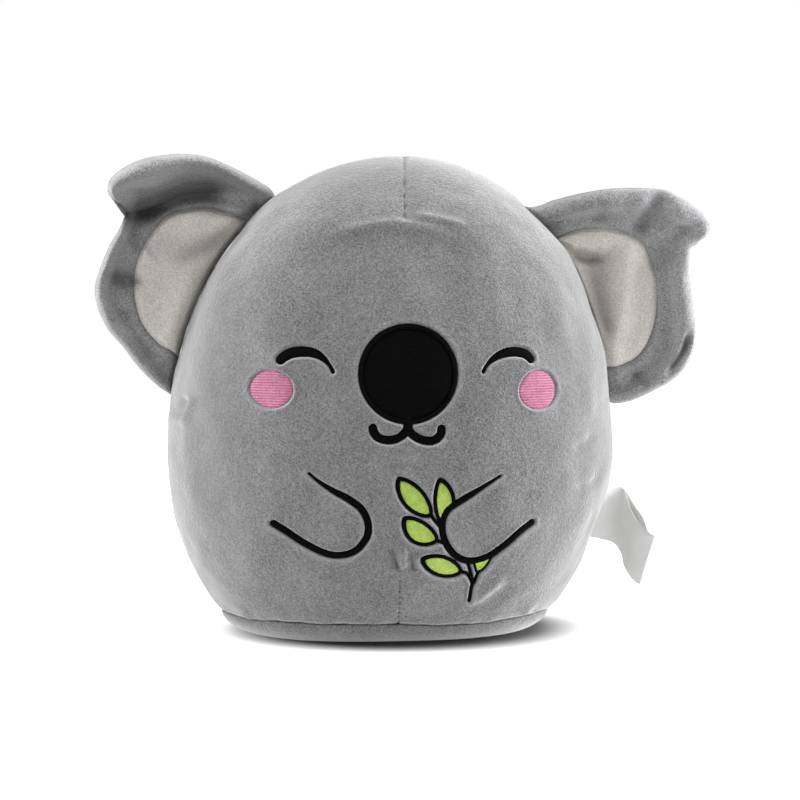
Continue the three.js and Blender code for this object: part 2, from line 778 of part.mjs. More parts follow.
function makeLabel() {
  const root = labelRootShare * bodyHeight;
  const upper = labelEdge(labelUpperShares, root, labelSteps);
  const lower = labelEdge(labelLowerShares, root - labelRootWidth, labelSteps);
  const row = (k) => {
    const along = upper[Math.min(k + 1, labelSteps)].clone().sub(upper[Math.max(k - 1, 0)]).normalize();
    const outside = along.clone().cross(lower[k].clone().sub(upper[k])).normalize();
    const points = Array.from({ length: labelWidthSteps + 1 }, (_, j) =>
      upper[k].clone().lerp(lower[k], j / labelWidthSteps),
    );
    return { points, along, outside };
  };
  const skin = (behind, depth) =>
    Array.from({ length: labelSteps + 1 }, (_, k) => {
      const { points, along, outside } = row(k);
      const apart = behind ? labelBulgeDepth * Math.sin((Math.PI * k) / labelSteps) ** 2 : 0;
      const shift = (behind ? 1 : -1) * (labelFoldGap / 2 + depth) + apart;
      const pastFold = k === labelSteps ? depth : 0;
      return points.map((p) => p.clone().addScaledVector(outside, shift).addScaledVector(along, pastFold));
    });
  const path = (depth) => [...skin(false, depth), ...skin(true, depth).reverse()];
  const outer = path(labelThickness);
  const inner = path(0);
  const rings = outer.map((points, k) => [...points, ...[...inner[k]].reverse()]);
  place("care_label", solidOf(ringedSolid(rings)), materials.satin);
}

makeBody();
makeBacking();
makeNose();
makeMouth();
makeEye(-1, "right_eye_stitching");
makeEye(1, "left_eye_stitching");
makeCheek(-1, "right_cheek_stitching");
makeCheek(1, "left_cheek_stitching");
makePawsAndSprig();
makeEar("right");
makeEar("left");
makeLabel();

export default toy;
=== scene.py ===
"""Dresses a squashy koala soft toy: plush panels, padded ears, embroidery and a care label.

Sizes inside the classes are in millimetres, in the toy's own frame: it stands on Z = 0 and faces -Y,
so its left side is +X. Meshes are turned into metres when they are made.
"""

import functools
import logging
import math
from dataclasses import dataclass, field
from enum import Enum
from typing import Any, Callable

import bpy
import numpy as np
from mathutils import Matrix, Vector


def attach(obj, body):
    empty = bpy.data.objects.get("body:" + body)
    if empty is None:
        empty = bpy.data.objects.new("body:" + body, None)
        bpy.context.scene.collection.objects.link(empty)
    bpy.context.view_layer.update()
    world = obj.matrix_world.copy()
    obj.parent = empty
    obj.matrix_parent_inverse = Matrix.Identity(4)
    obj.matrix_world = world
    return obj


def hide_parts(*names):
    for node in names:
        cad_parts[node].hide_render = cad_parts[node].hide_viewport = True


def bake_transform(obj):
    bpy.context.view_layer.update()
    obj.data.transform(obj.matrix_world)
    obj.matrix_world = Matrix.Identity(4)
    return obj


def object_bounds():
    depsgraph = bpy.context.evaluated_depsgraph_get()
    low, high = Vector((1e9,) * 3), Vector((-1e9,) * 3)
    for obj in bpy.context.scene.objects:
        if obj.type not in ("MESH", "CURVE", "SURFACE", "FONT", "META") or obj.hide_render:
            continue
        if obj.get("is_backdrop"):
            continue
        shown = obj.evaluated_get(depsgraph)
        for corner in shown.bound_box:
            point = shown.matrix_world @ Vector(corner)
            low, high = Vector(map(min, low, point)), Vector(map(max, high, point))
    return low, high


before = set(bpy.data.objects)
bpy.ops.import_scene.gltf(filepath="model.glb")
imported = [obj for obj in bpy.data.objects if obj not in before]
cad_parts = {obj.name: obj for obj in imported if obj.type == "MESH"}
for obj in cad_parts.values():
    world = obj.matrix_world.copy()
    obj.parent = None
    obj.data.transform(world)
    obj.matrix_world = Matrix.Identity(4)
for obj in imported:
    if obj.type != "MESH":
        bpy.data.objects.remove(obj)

LOG = logging.getLogger("koala")
Array = np.ndarray
Place = tuple[float, float]
Triple = tuple[float, float, float]
Path = tuple[tuple[float, ...], ...]
Piece = bpy.types.Object
MM = 0.001


class Side(Enum):
    """The toy's own right and left, as the sign of X."""

    RIGHT = -1
    LEFT = 1

    @property
    def word(self) -> str:
        """The side's name as the pieces' names begin."""
        return self.name.lower()


# Curves and distances


def places(*numbers: float, size: int = 2) -> Path:
    """The numbers in groups: (x, z) by twos, or of another size."""
    return tuple(zip(*(numbers[k::size] for k in range(size))))


def joined(*values: Array) -> Array:
    """Arrays of one shape side by side, along a new last axis."""
    return np.stack(values, axis=-1)


def smoothstep(value: Array, low: float, high: float) -> Array:
    """0 below low, 1 above high, and 3t² - 2t³ between them."""
    t = np.clip((value - low) / (high - low), 0.0, 1.0)
    return t * t * (3.0 - 2.0 * t)


def bell(value: Array, middle: float, width: float) -> Array:
    """e^(-((value - middle)/width)²): 1 at the middle and close to 0 from two widths on."""
    return np.exp(-(((value - middle) / width) ** 2))


def quarter_round(distance: Array, radius: Any) -> Array:
    """√(1 - (1 - t)²), as a rounded edge rises, where t is distance/radius and at most 1."""
    return np.sqrt(1 - (1 - np.clip(distance / radius, 0, 1)) ** 2)


def unit(vectors: Array) -> Array:
    """The vectors along the last axis, at a length of 1."""
    return vectors / np.maximum(np.linalg.norm(vectors, axis=-1, keepdims=True), 1e-12)


def points_at(points: Array, shares: Array) -> Array:
    """Points along a polyline.

    Args:
        points: The polyline, one point a row.
        shares: The share of its length at which each point is wanted.

    Returns:
        The points, by linear interpolation over the length run so far.
    """
    length = np.concatenate([[0.0], np.cumsum(np.linalg.norm(np.diff(points, axis=0), axis=1))])
    at = shares * length[-1]
    return np.stack([np.interp(at, length, points[:, k]) for k in range(points.shape[1])], axis=1)


def resample(points: Array, count: int) -> Array:
    """Evenly spaced points along a polyline, both its ends among them."""
    return points_at(points, np.linspace(0.0, 1.0, count))


def resample_loop(points: Array, count: int) -> Array:
    """Evenly spaced points along a closed line, whose first point isn't repeated at its end."""
    return resample(np.vstack([points, points[:1]]), count + 1)[:-1]


def spread(density: Array, count: int) -> Array:
    """Shares from 0 to 1 that lie closer together where a density, given at even steps, is higher."""
    total = np.concatenate([[0.0], np.cumsum(density[1:] + density[:-1])])
    return np.interp(np.linspace(0.0, total[-1], count), total, np.linspace(0.0, 1.0, len(density)))


def smooth_curve(points: Any, count: int, closed: bool = False) -> Array:
    """A Catmull-Rom curve through the points, evenly resampled.

    Args:
        points: The points that it passes through.
        count: How many points to give back.
        closed: Whether it runs back to its start, which is then not repeated.

    Returns:
        The curve's points, one a row.
    """
    p = np.asarray(points, float)
    ends = [p[-1:], p, p[:2]] if closed else [2 * p[:1] - p[1:2], p, 2 * p[-1:] - p[-2:-1]]
    q = np.vstack(ends)
    a, b, c, d = q[:-3], q[1:-2], q[2:-1], q[3:]
    t = np.linspace(0.0, 1.0, 24, endpoint=False)[:, None, None]
    square, cube = (2 * a - 5 * b + 4 * c - d) * t**2, (3 * b - a - 3 * c + d) * t**3
    curve = 0.5 * (2 * b + (c - a) * t + square + cube)
    line = np.vstack([curve.transpose(1, 0, 2).reshape(-1, p.shape[1]), p[:1] if closed else p[-1:]])
    return resample(line, count + 1)[:-1] if closed else resample(line, count)


def distance_to_path(points: Array, path: Array, closed: bool = False) -> tuple[Array, Array]:
    """How far points lie from a polyline in the plane.

    Args:
        points: The points, one a row.
        path: The polyline.
        closed: Whether its end joins its start.

    Returns:
        The least distance of each point, and the share of the line's length where it is nearest.
    """
    line = np.vstack([path, path[:1]]) if closed else path
    steps = np.linalg.norm(np.diff(line, axis=0), axis=1)
    start = np.concatenate([[0.0], np.cumsum(steps)])
    best = np.full(len(points), np.inf)
    along = np.zeros(len(points))
    for k, step in enumerate(steps):
        edge = line[k + 1] - line[k]
        t = np.clip((points - line[k]) @ edge / max(step * step, 1e-12), 0.0, 1.0)
        gap = np.linalg.norm(points - line[k] - t[:, None] * edge, axis=1)
        nearer = gap < best
        best = np.where(nearer, gap, best)
        along = np.where(nearer, start[k] + t * step, along)
    return best, along / start[-1]


def inside(points: Array, outline: Array) -> Array:
    """Whether each point lies inside a closed outline, by counting how often a ray crosses it."""
    x, z = points[:, 0], points[:, 1]
    odd = np.zeros(len(points), bool)
    for a, b in zip(outline, np.roll(outline, -1, axis=0)):
        crosses = (a[1] > z) != (b[1] > z)
        rise = b[1] - a[1] if b[1] != a[1] else 1e-12
        odd ^= crosses & (x < a[0] + (z - a[1]) * (b[0] - a[0]) / rise)
    return odd


def undulation(points: Array, wavelength: float, seed: int, waves: int = 28) -> Array:
    """A soft random relief of about unit height: a sum of cosine waves in random directions.

    Args:
        points: Places in space, one a row.
        wavelength: The mean distance from crest to crest.
        seed: Which random directions and phases to take.
        waves: How many waves are added.

    Returns:
        One height for each place.
    """
    rng = np.random.default_rng(seed)
    direction = unit(rng.normal(size=(waves, 3)))
    number = 2 * np.pi / (wavelength * rng.uniform(0.7, 1.5, waves))
    phase = rng.uniform(0, 2 * np.pi, waves)
    return np.cos(points @ (direction * number[:, None]).T + phase).sum(axis=1) / math.sqrt(waves / 2)


# Meshes and objects


def linked(name: str, data: Any) -> Piece:
    """A new object of a mesh, a light or a camera, in the scene."""
    made = bpy.data.objects.new(name, data)
    bpy.context.scene.collection.objects.link(made)
    return made


def aim(made: Piece, place: Vector, target: Vector) -> None:
    """Stands a light or a camera at a place and turns it toward a target."""
    made.location = place
    made.rotation_mode = "QUATERNION"
    made.rotation_quaternion = (target - place).to_track_quat("-Z", "Y")


def rings_about(middle: Array, edge: Array, shares: Array) -> Array:
    """A closed line drawn in toward its middle, once for each share of its size."""
    return middle + shares[:, None, None] * (edge - middle)[None]


def closed_rows(name: str, rows: Array, capped: bool = True) -> Piece:
    """A closed skin over rings of points.

    Ring r's point k joins ring r + 1's point k by a quad, each ring closes on itself, and the first
    and last ring end in a fan about their own middle.

    Args:
        name: The new object's name.
        rows: Rings of points in millimetres, of shape (rings, points, 3).
        capped: Whether the first and last ring get their fans.

    Returns:
        A smooth shaded object at the origin, in metres, with its faces outwards.
    """
    count, width = rows.shape[:2]
    points = rows.reshape(-1, 3)
    ring = np.arange(count - 1)[:, None] * width
    here = np.arange(width)
    after = np.roll(here, -1)
    corners = [ring + here, ring + after, ring + width + after, ring + width + here]
    quads = np.stack(corners, axis=-1).reshape(-1, 4)
    fans = np.zeros((0, 3), int)
    if capped:
        points = np.vstack([points, rows[0].mean(axis=0), rows[-1].mean(axis=0)])
        low, high, last = count * width, count * width + 1, (count - 1) * width
        first_fan = joined(np.full(width, low), after, here)
        last_fan = joined(np.full(width, high), last + here, last + after)
        fans = np.vstack([first_fan, last_fan])
    a, b, c, d = (points[quads[:, k]] for k in range(4))
    volume = (a * np.cross(b, c)).sum() + (a * np.cross(c, d)).sum()
    volume += (points[fans[:, 0]] * np.cross(points[fans[:, 1]], points[fans[:, 2]])).sum()
    if volume < 0:
        quads, fans = quads[:, ::-1], fans[:, ::-1]
    mesh = bpy.data.meshes.new(name)
    mesh.from_pydata((points * MM).tolist(), [], quads.tolist() + fans.tolist())
    mesh.shade_smooth()
    return linked(name, mesh)


def mark(piece: Piece, name: str, values: Array) -> None:
    """Keeps one number for each vertex of a piece, for its material to read."""
    padded = np.zeros(len(piece.data.vertices), np.float32)
    padded[: values.size] = values.ravel()
    piece.data.attributes.new(name, "FLOAT", "POINT").data.foreach_set("value", padded)


def facing_down(grid: Array) -> Array:
    """How far each point of a grid in space faces down, from 0 to 1, where its front is toward -Y."""
    normal = unit(np.cross(np.gradient(grid, axis=0), np.gradient(grid, axis=1)))
    return np.clip(normal[..., 2] * np.sign(normal[..., 1]), 0, 1)


@dataclass(frozen=True)
class Bend:
    """Where sewn cloth bends beside its seam: a hinge's (x, z), the way out from it, and how far."""

    hinge: Place
    outward: Place
    reach: float

    def bend(self, piece: Piece, body: str) -> None:
        """Bakes the piece's place into its mesh, where it stays on the toy."""
        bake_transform(piece)


def settle(piece: Piece, nodes: list[str], finish: "Finish", body: str = "body") -> None:
    """Gives a piece its finish, hangs it on the body or leaves it in place, hides the CAD nodes that it
    stands for, and logs it.

    Args:
        piece: The piece, as its final mesh.
        nodes: The CAD nodes that it stands for.
        finish: Its finish.
        body: The CAD body that it moves with when that is the body; on any other it stays where it is.
    """
    piece.data.materials.append(finish.material())
    if body == "body":
        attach(piece, body)
    else:
        BENDS[body].bend(piece, body)
    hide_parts(*nodes)
    LOG.info("%s: %d faces on %s", piece.name, len(piece.data.polygons), body)


# Materials


class Signal:
    """A number or colour that nodes work out, so that its maths reads as a Python expression."""

    def __init__(self, nodes: "Nodes", socket: Any) -> None:
        """Keeps an output socket of one of the nodes."""
        self.nodes = nodes
        self.socket = socket

    def maths(self, operation: str, *others: Any) -> "Signal":
        """One Math node on this number and others."""
        return self.nodes.add("ShaderNodeMath", {"operation": operation}, dict(enumerate((self, *others))))

    def __add__(self, other: Any) -> "Signal":
        """This plus another."""
        return self.maths("ADD", other)

    __radd__ = __add__

    def __mul__(self, other: Any) -> "Signal":
        """This times another."""
        return self.maths("MULTIPLY", other)

    def __sub__(self, other: Any) -> "Signal":
        """This less another."""
        return self.maths("SUBTRACT", other)

    def __rsub__(self, other: float) -> "Signal":
        """A number less this."""
        return (self * -1.0) + other

    def between(self, low: float, high: float) -> "Signal":
        """0 below low and 1 above high, smoothly."""
        sockets = {"Value": self, "From Min": low, "From Max": high}
        return self.nodes.add("ShaderNodeMapRange", {"interpolation_type": "SMOOTHSTEP"}, sockets)


class Nodes:
    """The nodes of a material or of the world."""

    def __init__(self, tree: bpy.types.NodeTree) -> None:
        """Wraps a node tree."""
        self.tree = tree

    def add(self, kind: str, settings: dict[str, Any], sockets: dict[Any, Any], out: Any = 0) -> Signal:
        """A node of any type.

        Args:
            kind: The node's type.
            settings: Its settings, which are set first.
            sockets: A value or a Signal for each input, by name or number.
            out: Which output to give back.

        Returns:
            That output.
        """
        node = self.tree.nodes.new(kind)
        for key, value in settings.items():
            setattr(node, key, value)
        for key, value in sockets.items():
            self.feed(node.inputs[key], value)
        return Signal(self, node.outputs[out])

    def feed(self, socket: Any, value: Any) -> None:
        """Links a Signal to a socket, or sets a plain value on it."""
        if isinstance(value, Signal):
            self.tree.links.new(value.socket, socket)
        else:
            socket.default_value = value


class Shader(Nodes):
    """A new material's nodes, with its Principled surface."""

    def __init__(self, name: str) -> None:
        """Makes the material."""
        self.made = bpy.data.materials.new(name)
        self.made.use_nodes = True
        super().__init__(self.made.node_tree)
        self.surface = self.tree.nodes["Principled BSDF"]

    def set(self, **values: Any) -> None:
        """Sets or links sockets of the Principled surface, with _ for a space in their names."""
        for key, value in values.items():
            self.feed(self.surface.inputs[key.replace("_", " ")], value)

    def place(self) -> Signal:
        """Where the shaded point lies, in metres, in the toy's frame."""
        return self.add("ShaderNodeTexCoord", {}, {}, "Object")

    def stretched(self, place: Signal, turn: Triple = (0, 0, 0), scale: Triple = (1, 1, 1)) -> Signal:
        """Places turned by three angles in radians, and scaled."""
        return self.add("ShaderNodeMapping", {}, {"Vector": place, "Rotation": turn, "Scale": scale})

    def noise(self, place: Signal, size: float, detail: float = 2.0, rough: float = 0.5) -> Signal:
        """Cloudy noise about 0.5, whose clouds are about size metres across."""
        sockets = {"Vector": place, "Scale": 1.0 / size, "Detail": detail, "Roughness": rough}
        return self.add("ShaderNodeTexNoise", {}, sockets)

    def attribute(self, name: str) -> Signal:
        """A number that the piece keeps for each vertex."""
        return self.add("ShaderNodeAttribute", {"attribute_name": name}, {}, "Fac")

    def mix(self, share: Any, low: Any, high: Any) -> Signal:
        """A colour from low, at share 0, to high, at share 1."""
        settings = {"data_type": "RGBA", "clamp_factor": True}
        return self.add("ShaderNodeMix", settings, {0: share, 6: low, 7: high}, 2)

    def bump(self, height: Signal, depth: float, strength: float = 1.0) -> Signal:
        """A normal tilted by a height of at most depth metres."""
        return self.add("ShaderNodeBump", {}, {"Height": height, "Distance": depth, "Strength": strength})


def shade(colour: Triple, factor: float) -> tuple[float, float, float, float]:
    """A colour made lighter or darker, with an alpha of 1."""
    return (colour[0] * factor, colour[1] * factor, colour[2] * factor, 1.0)


@dataclass(frozen=True)
class Finish:
    """A finish. material() makes it once, and then gives the same one back."""

    name: str
    colour: Triple

    @functools.cache
    def material(self) -> bpy.types.Material:
        """The finish as a material."""
        shader = Shader(self.name)
        self.paint(shader)
        return shader.made

    def paint(self, shader: Shader) -> None:
        """Sets up the surface. Each kind of finish has its own way."""
        raise NotImplementedError


@dataclass(frozen=True)
class Plush(Finish):
    """Short-pile plush: a fine speckle of tufts, brushed patches and a soft sheen at the sides.

    The sizes of hairs, tufts, brushed strokes and patches, and the pile's depth, are in metres.
    """

    speckle: float = 0.46
    brushing: float = 0.30
    sheen: float = 0.5
    combed: float = 0.0
    calm: float = 0.0
    folded: float = 0.0
    hair_size: float = 0.0008
    tuft_size: float = 0.0021
    stroke_size: float = 0.012
    patch_size: float = 0.05
    pile_depth: float = 0.0009
    calm_from: float = 0.055
    calm_to: float = 0.105

    def paint(self, shader: Shader) -> None:
        """The pile's colour goes light and dark from tuft to tuft, and its height follows.

        Where the cloth is calm, its speckle fades toward the toy's two sides. Just below stitches the pile
        gets a painted highlight, and in creases and where it faces down it gets painted shade.
        """
        place = shader.place()
        fine = shader.noise(place, self.hair_size, 1.0, 0.6)
        tuft = shader.noise(place, self.tuft_size, 2.0, 0.6)
        brushed = shader.stretched(place, (0, 0.5, 0), (1, 1, 0.4))
        strokes = shader.noise(brushed, self.stroke_size, 3.0, 0.55)
        patch = shader.noise(place, self.patch_size)
        light = (fine - 0.5) * (self.speckle * 3.0) + (tuft - 0.5) * (self.speckle * 0.9)
        if self.calm:
            across = shader.add("ShaderNodeSeparateXYZ", {}, {"Vector": place}, "X").maths("ABSOLUTE")
            light = light * (1.0 - across.between(self.calm_from, self.calm_to) * self.calm)
        light = light + (strokes - 0.5) * self.brushing + (patch - 0.5) * self.brushing
        colour = shader.mix(light + 0.5, shade(self.colour, 0.30), shade(self.colour, 1.70))
        # Painted highlight: pile just below stitches is lightened, up to 2.4 times its colour, as where
        # light from above catches it.
        if self.combed:
            highlight_share = shader.attribute("combed") * (0.4 + fine * 1.2)
            colour = shader.mix(highlight_share * self.combed, colour, shade(self.colour, 2.4))
        # Painted shade: the colour darkens toward a fifth of itself in creases and on pile that faces down,
        # by the amount each vertex keeps.
        if self.folded:
            colour = shader.mix(shader.attribute("folded") * self.folded, colour, shade(self.colour, 0.2))
        height = fine * 0.6 + tuft * 0.7 + strokes * 0.5
        shader.set(Base_Color=colour, Roughness=0.95, Normal=shader.bump(height, self.pile_depth, 0.6))
        shader.set(Specular_IOR_Level=0.1, Sheen_Weight=self.sheen, Sheen_Roughness=0.45)
        shader.set(Sheen_Tint=(1.0, 1.0, 1.0, 1.0))


@dataclass(frozen=True)
class Thread(Finish):
    """Rayon embroidery thread in rows of stitches, a little glossy, with fine uneven strands.

    row is the distance from one row of stitches to the next, and relief the height of a row, in metres.
    """

    roughness: float = 0.45
    gloss: float = 0.3
    row: float = 0.00042
    turn: float = 0.0
    grooves: float = 0.45
    strands: float = 0.5
    strand_size: float = 0.0004
    wobble_size: float = 0.004
    relief: float = 0.00022

    def paint(self, shader: Shader) -> None:
        """Rows of stitches lie across Z after a turn about Y.

        Their colour is painted with shade between rows, by 0.5 - 0.5 cos(2π z/row), which is darkest
        between two rows, as their height is.
        """
        place = shader.place()
        turned = shader.stretched(place, (0, self.turn, 0))
        height = shader.add("ShaderNodeSeparateXYZ", {}, {"Vector": turned}, "Z")
        wobble = shader.noise(place, self.wobble_size)
        wave = (height * (2 * math.pi / self.row) + wobble * 0.6).maths("COSINE")
        rows = wave * -0.5 + 0.5
        strands = shader.noise(shader.stretched(turned, scale=(0.15, 1, 1)), self.strand_size, 2.0, 0.6)
        # Painted shade between rows of stitches, plus random tone from strands and wobble.
        light = (rows - 0.6) * self.grooves + (strands - 0.5) * (2 * self.strands) + (wobble - 0.5) * 0.5
        colour = shader.mix(light + 0.5, shade(self.colour, 0.45), shade(self.colour, 1.55))
        bump = shader.bump(rows * 0.8 + strands * 0.5, self.relief, 0.7)
        shader.set(Base_Color=colour, Roughness=self.roughness, Normal=bump)
        shader.set(Specular_IOR_Level=self.gloss)


@dataclass(frozen=True)
class Ribbon(Finish):
    """Woven satin ribbon: a fine weave across a smooth, slightly glossy white cloth. Sizes in metres."""

    yarn_size: float = 0.00035
    cloud_size: float = 0.008
    relief: float = 0.0001

    def paint(self, shader: Shader) -> None:
        """Warp and weft as two fine noises stretched across each other."""
        place = shader.place()
        warp = shader.noise(shader.stretched(place, scale=(1, 1, 0.1)), self.yarn_size, 1.0)
        weft = shader.noise(shader.stretched(place, scale=(0.1, 0.1, 1)), self.yarn_size, 1.0)
        cloud = shader.noise(place, self.cloud_size, 1.0)
        light = warp * 0.35 + weft * 0.35 + cloud * 0.3
        colour = shader.mix(light, shade(self.colour, 0.86), shade(self.colour, 1.08))
        shader.set(Base_Color=colour, Roughness=0.46, Normal=shader.bump(warp + weft, self.relief, 0.4))
        shader.set(Sheen_Weight=0.1, Sheen_Roughness=0.3, Specular_IOR_Level=0.35)


BODY_PLUSH = Plush("grey_plush", (0.190, 0.190, 0.194), sheen=1.0, combed=0.75, calm=0.55)
# The ears' grey plush is the body's fabric, painted lighter to stand in for light on the ears.
EAR_PLUSH_PAINTED_LIGHTER = Plush("ear_grey_plush", (0.320, 0.320, 0.327), speckle=0.40, sheen=0.6, folded=1.0)
LINING_PLUSH = Plush("cream_plush", (0.700, 0.665, 0.620), 0.20, 0.14, sheen=0.3, folded=0.5)
BLACK_THREAD = Thread("black_satin_stitch", (0.0026, 0.0025, 0.0027), roughness=0.6, gloss=0.035)
NOSE_THREAD = Thread("black_fill_stitch", (0.0028, 0.0028, 0.0030), roughness=0.6, gloss=0.03, row=0.0009)
PINK_THREAD = Thread("pink_fill_stitch", (0.500, 0.178, 0.280), row=0.00128, strands=0.9)
GREEN_THREAD = Thread("green_fill_stitch", (0.400, 0.560, 0.095), row=0.0008, turn=-0.95, grooves=0.35)
LABEL_RIBBON = Ribbon("white_satin_ribbon", (0.92, 0.92, 0.905))


# The stuffed egg


@dataclass(frozen=True)
class Egg:
    """The head and body in one: level slices are superellipses, and so is the outline above and below."""

    height: float = 240.0
    width: float = 223.0
    front: float = 82.0
    back: float = 78.0
    waist: float = 95.04
    hidden: float = 26.0
    lean: float = 7.0
    section_power: float = 2.25
    width_power: float = 2.2
    depth_power: float = 2.5
    lower_power: float = 2.15
    side_seam: float = 14.0

    def profile(self, z: Array, power: float) -> Array:
        """The share of the widest size at height z: √(1 - share^power) about the waist."""
        above = np.clip((z - self.waist) / (self.height - self.waist), 0.0, 1.0)
        below = np.clip((self.waist - z) / (self.waist + self.hidden), 0.0, 1.0)
        upper = np.sqrt(np.clip(1 - above**power, 0.0, 1.0))
        lower = np.sqrt(np.clip(1 - below**self.lower_power, 0.0, 1.0))
        return np.where(z >= self.waist, upper, lower)

    def middle(self, z: Array) -> Array:
        """The X of the slice's middle at height z, as the toy leans a little."""
        return self.lean * z / self.height

    def half_width(self, z: Array) -> Array:
        """Half the slice's width at height z."""
        return self.width / 2 * self.profile(z, self.width_power)

    def half_depth(self, y: Array | float, z: Array) -> Array:
        """How far the slice at height z reaches toward the front where y is negative, else the back."""
        return np.where(np.less(y, 0), self.front, self.back) * self.profile(z, self.depth_power)

    def level(self, p: Array) -> Array:
        """Under 1 inside: |x/a|^n + |y/b|^n with the slice's own half-sizes a and b."""
        x, y, z = p[..., 0], p[..., 1], p[..., 2]
        a = np.maximum(self.half_width(z), 1e-6)
        b = np.maximum(self.half_depth(y, z), 1e-6)
        n = self.section_power
        return (np.abs(x - self.middle(z)) / a) ** n + (np.abs(y) / b) ** n

    def cast(self, origin: Array, direction: Array) -> Array:
        """Where rays from inside leave the egg, found by halving the span 34 times."""
        low = np.zeros(direction.shape[:-1])
        high = np.full(direction.shape[:-1], 220.0)
        for _ in range(34):
            half = (low + high) / 2
            within = self.level(origin + direction * half[..., None]) < 1
            low, high = np.where(within, half, low), np.where(within, high, half)
        return origin + direction * low[..., None]

    def normal(self, p: Array) -> Array:
        """The outward normal: the level's slope, by central differences."""
        step = 0.05
        slopes = [self.level(p + axis) - self.level(p - axis) for axis in np.eye(3) * step]
        return unit(np.stack(slopes, axis=-1))

    def on_front(self, p: Array) -> Array:
        """The place on the front of the egg seen at (x, z), by solving the level for y."""
        x, z = p[..., 0], p[..., 1]
        n = self.section_power
        across = np.clip(1 - (np.abs(x - self.middle(z)) / self.half_width(z)) ** n, 0.0, 1.0)
        y = -self.half_depth(-1.0, z) * across ** (1 / n)
        return joined(x, y, z)

    def slide(self, p: Array, rise: Array) -> Array:
        """Moves places up the skin: each slice's outline is the same shape in another size."""
        z = p[..., 2] + rise
        wide = self.profile(z, self.width_power) / self.profile(p[..., 2], self.width_power)
        deep = self.profile(z, self.depth_power) / self.profile(p[..., 2], self.depth_power)
        x = self.middle(z) + (p[..., 0] - self.middle(p[..., 2])) * wide
        return joined(x, p[..., 1] * deep, z)

    def seam(self, z: Array, side: Side, stand_off: float) -> Array:
        """The side seam's (x, z) at height z, stand_off away from the cloth."""
        b = np.maximum(self.half_depth(1.0, z), self.side_seam + 0.1)
        n = self.section_power
        reach = self.half_width(z) * (1 - (self.side_seam / b) ** n) ** (1 / n)
        line = joined(self.middle(z) + side.value * reach, z)
        along = np.abs(unit(np.gradient(line, axis=0)))
        return line + joined(along[:, 1] * side.value, along[:, 0]) * stand_off


EGG = Egg()
BENDS = {
    "ear_right": Bend((-94.0, 171.4), (-0.8809, 0.4733), 26.0),
    "ear_left": Bend((104.0, 171.3), (0.9027, 0.4303), 26.0),
    "label": Bend((108.6, 59.3), (0.9581, -0.2864), 9.0),
}


@dataclass(frozen=True)
class Crease:
    """A soft valley along a curve seen from the front, or a ridge where its depth is negative."""

    path: Path
    depth: float
    width: float
    steps: int = 14

    def relief(self, p: Array) -> Array:
        """-depth e^(-(distance/width)²), fading out over the curve's two ends."""
        gap, along = distance_to_path(p, smooth_curve(self.path, self.steps))
        fade = smoothstep(along, 0.0, 0.3) * smoothstep(1 - along, 0.0, 0.3)
        return -self.depth * bell(gap, 0.0, self.width) * fade


# Embroidery figures, as they are seen from the front


@dataclass(frozen=True)
class StitchLine:
    """A raised line of satin stitch along a smooth curve.

    Its half-width at share t of its length is width/2 times taper(t), and both ends are round.
    """

    name: str
    path: Path
    width: float
    taper: Callable[[Array], Array] = np.ones_like
    closed: bool = False
    height: float = 1.0

    def curve(self, count: int) -> Array:
        """The middle of the line."""
        return smooth_curve(self.path, count, self.closed)

    def gap(self, p: Array) -> Array:
        """Distance to the line's edge, negative inside it."""
        away, along = distance_to_path(p, self.curve(60), self.closed)
        return away - self.width / 2 * self.taper(along)


@dataclass(frozen=True)
class StitchFill:
    """An area filled with stitches inside a closed outline."""

    name: str
    outline: Path
    finish: Finish
    height: float = 0.7
    row: float = 0.6
    row_height: float = 0.05
    row_turn: float = 0.0
    corners: bool = False

    def edge(self, count: int) -> Array:
        """The outline, as a smooth curve or, where it has corners, as straight stretches."""
        if self.corners:
            return resample_loop(np.array(self.outline), count)
        return smooth_curve(self.outline, count, True)

    def gap(self, p: Array) -> Array:
        """Distance to the outline, negative inside it."""
        edge = self.edge(70)
        away, _ = distance_to_path(p, edge, True)
        return np.where(inside(p, edge), -away, away)


def round_outline(x: float, z: float, half_width: float, half_height: float) -> Path:
    """Points round an ellipse."""
    angles = np.linspace(0, 2 * np.pi, 32, endpoint=False)
    return tuple((x + half_width * math.cos(a), z + half_height * math.sin(a)) for a in angles)


def leaf_outline(tip: Place, foot: Place, bulges: tuple[float, float], inset: float) -> Path:
    """A pointed leaf between tip and foot.

    Its two edges stand sin(πt)^0.6 times a bulge off the line from tip to foot, less the inset.
    """
    start, end = np.array(tip), np.array(foot)
    length = float(np.linalg.norm(end - start))
    along = (end - start) / length
    side = np.array([along[1], -along[0]])
    t = (np.arange(16) + 0.5) / 16
    run = 1.8 * inset + (length - 3.1 * inset) * t
    edges = []
    for sign, bulge in ((1, bulges[0]), (-1, bulges[1])):
        out = sign * (bulge * length - inset) * np.sin(np.pi * t) ** 0.6
        edges.append(start + run[:, None] * along + out[:, None] * side)
    tip_end, foot_end = start + 1.8 * inset * along, end - 1.3 * inset * along
    return tuple(map(tuple, np.vstack([[tip_end], edges[0], [foot_end], edges[1][::-1]])))


NOSE_PLACE: Place = (4.1, 135.0)
NOSE_RADIUS = 24.0
NOSE_BORDER = 2.4
CHEEKS: tuple[tuple[Place, Place], ...] = (((-61.0, 127.5), (10.3, 9.1)), ((68.4, 126.3), (9.9, 9.5)))
LEAF_POINTS = 160


def eye_taper(t: Array) -> Array:
    """Blunt at the outer end, fullest past the middle and fine at the end by the nose."""
    return np.maximum(0.36, (0.82 + 0.2 * np.sin(np.pi * np.clip(t * 1.3, 0, 1))) * (1 - t**3.8))


def arm_taper(t: Array) -> Array:
    """Fine at the upper end and full from the paw on."""
    return 0.35 + 0.65 * smoothstep(t, -0.02, 0.24)


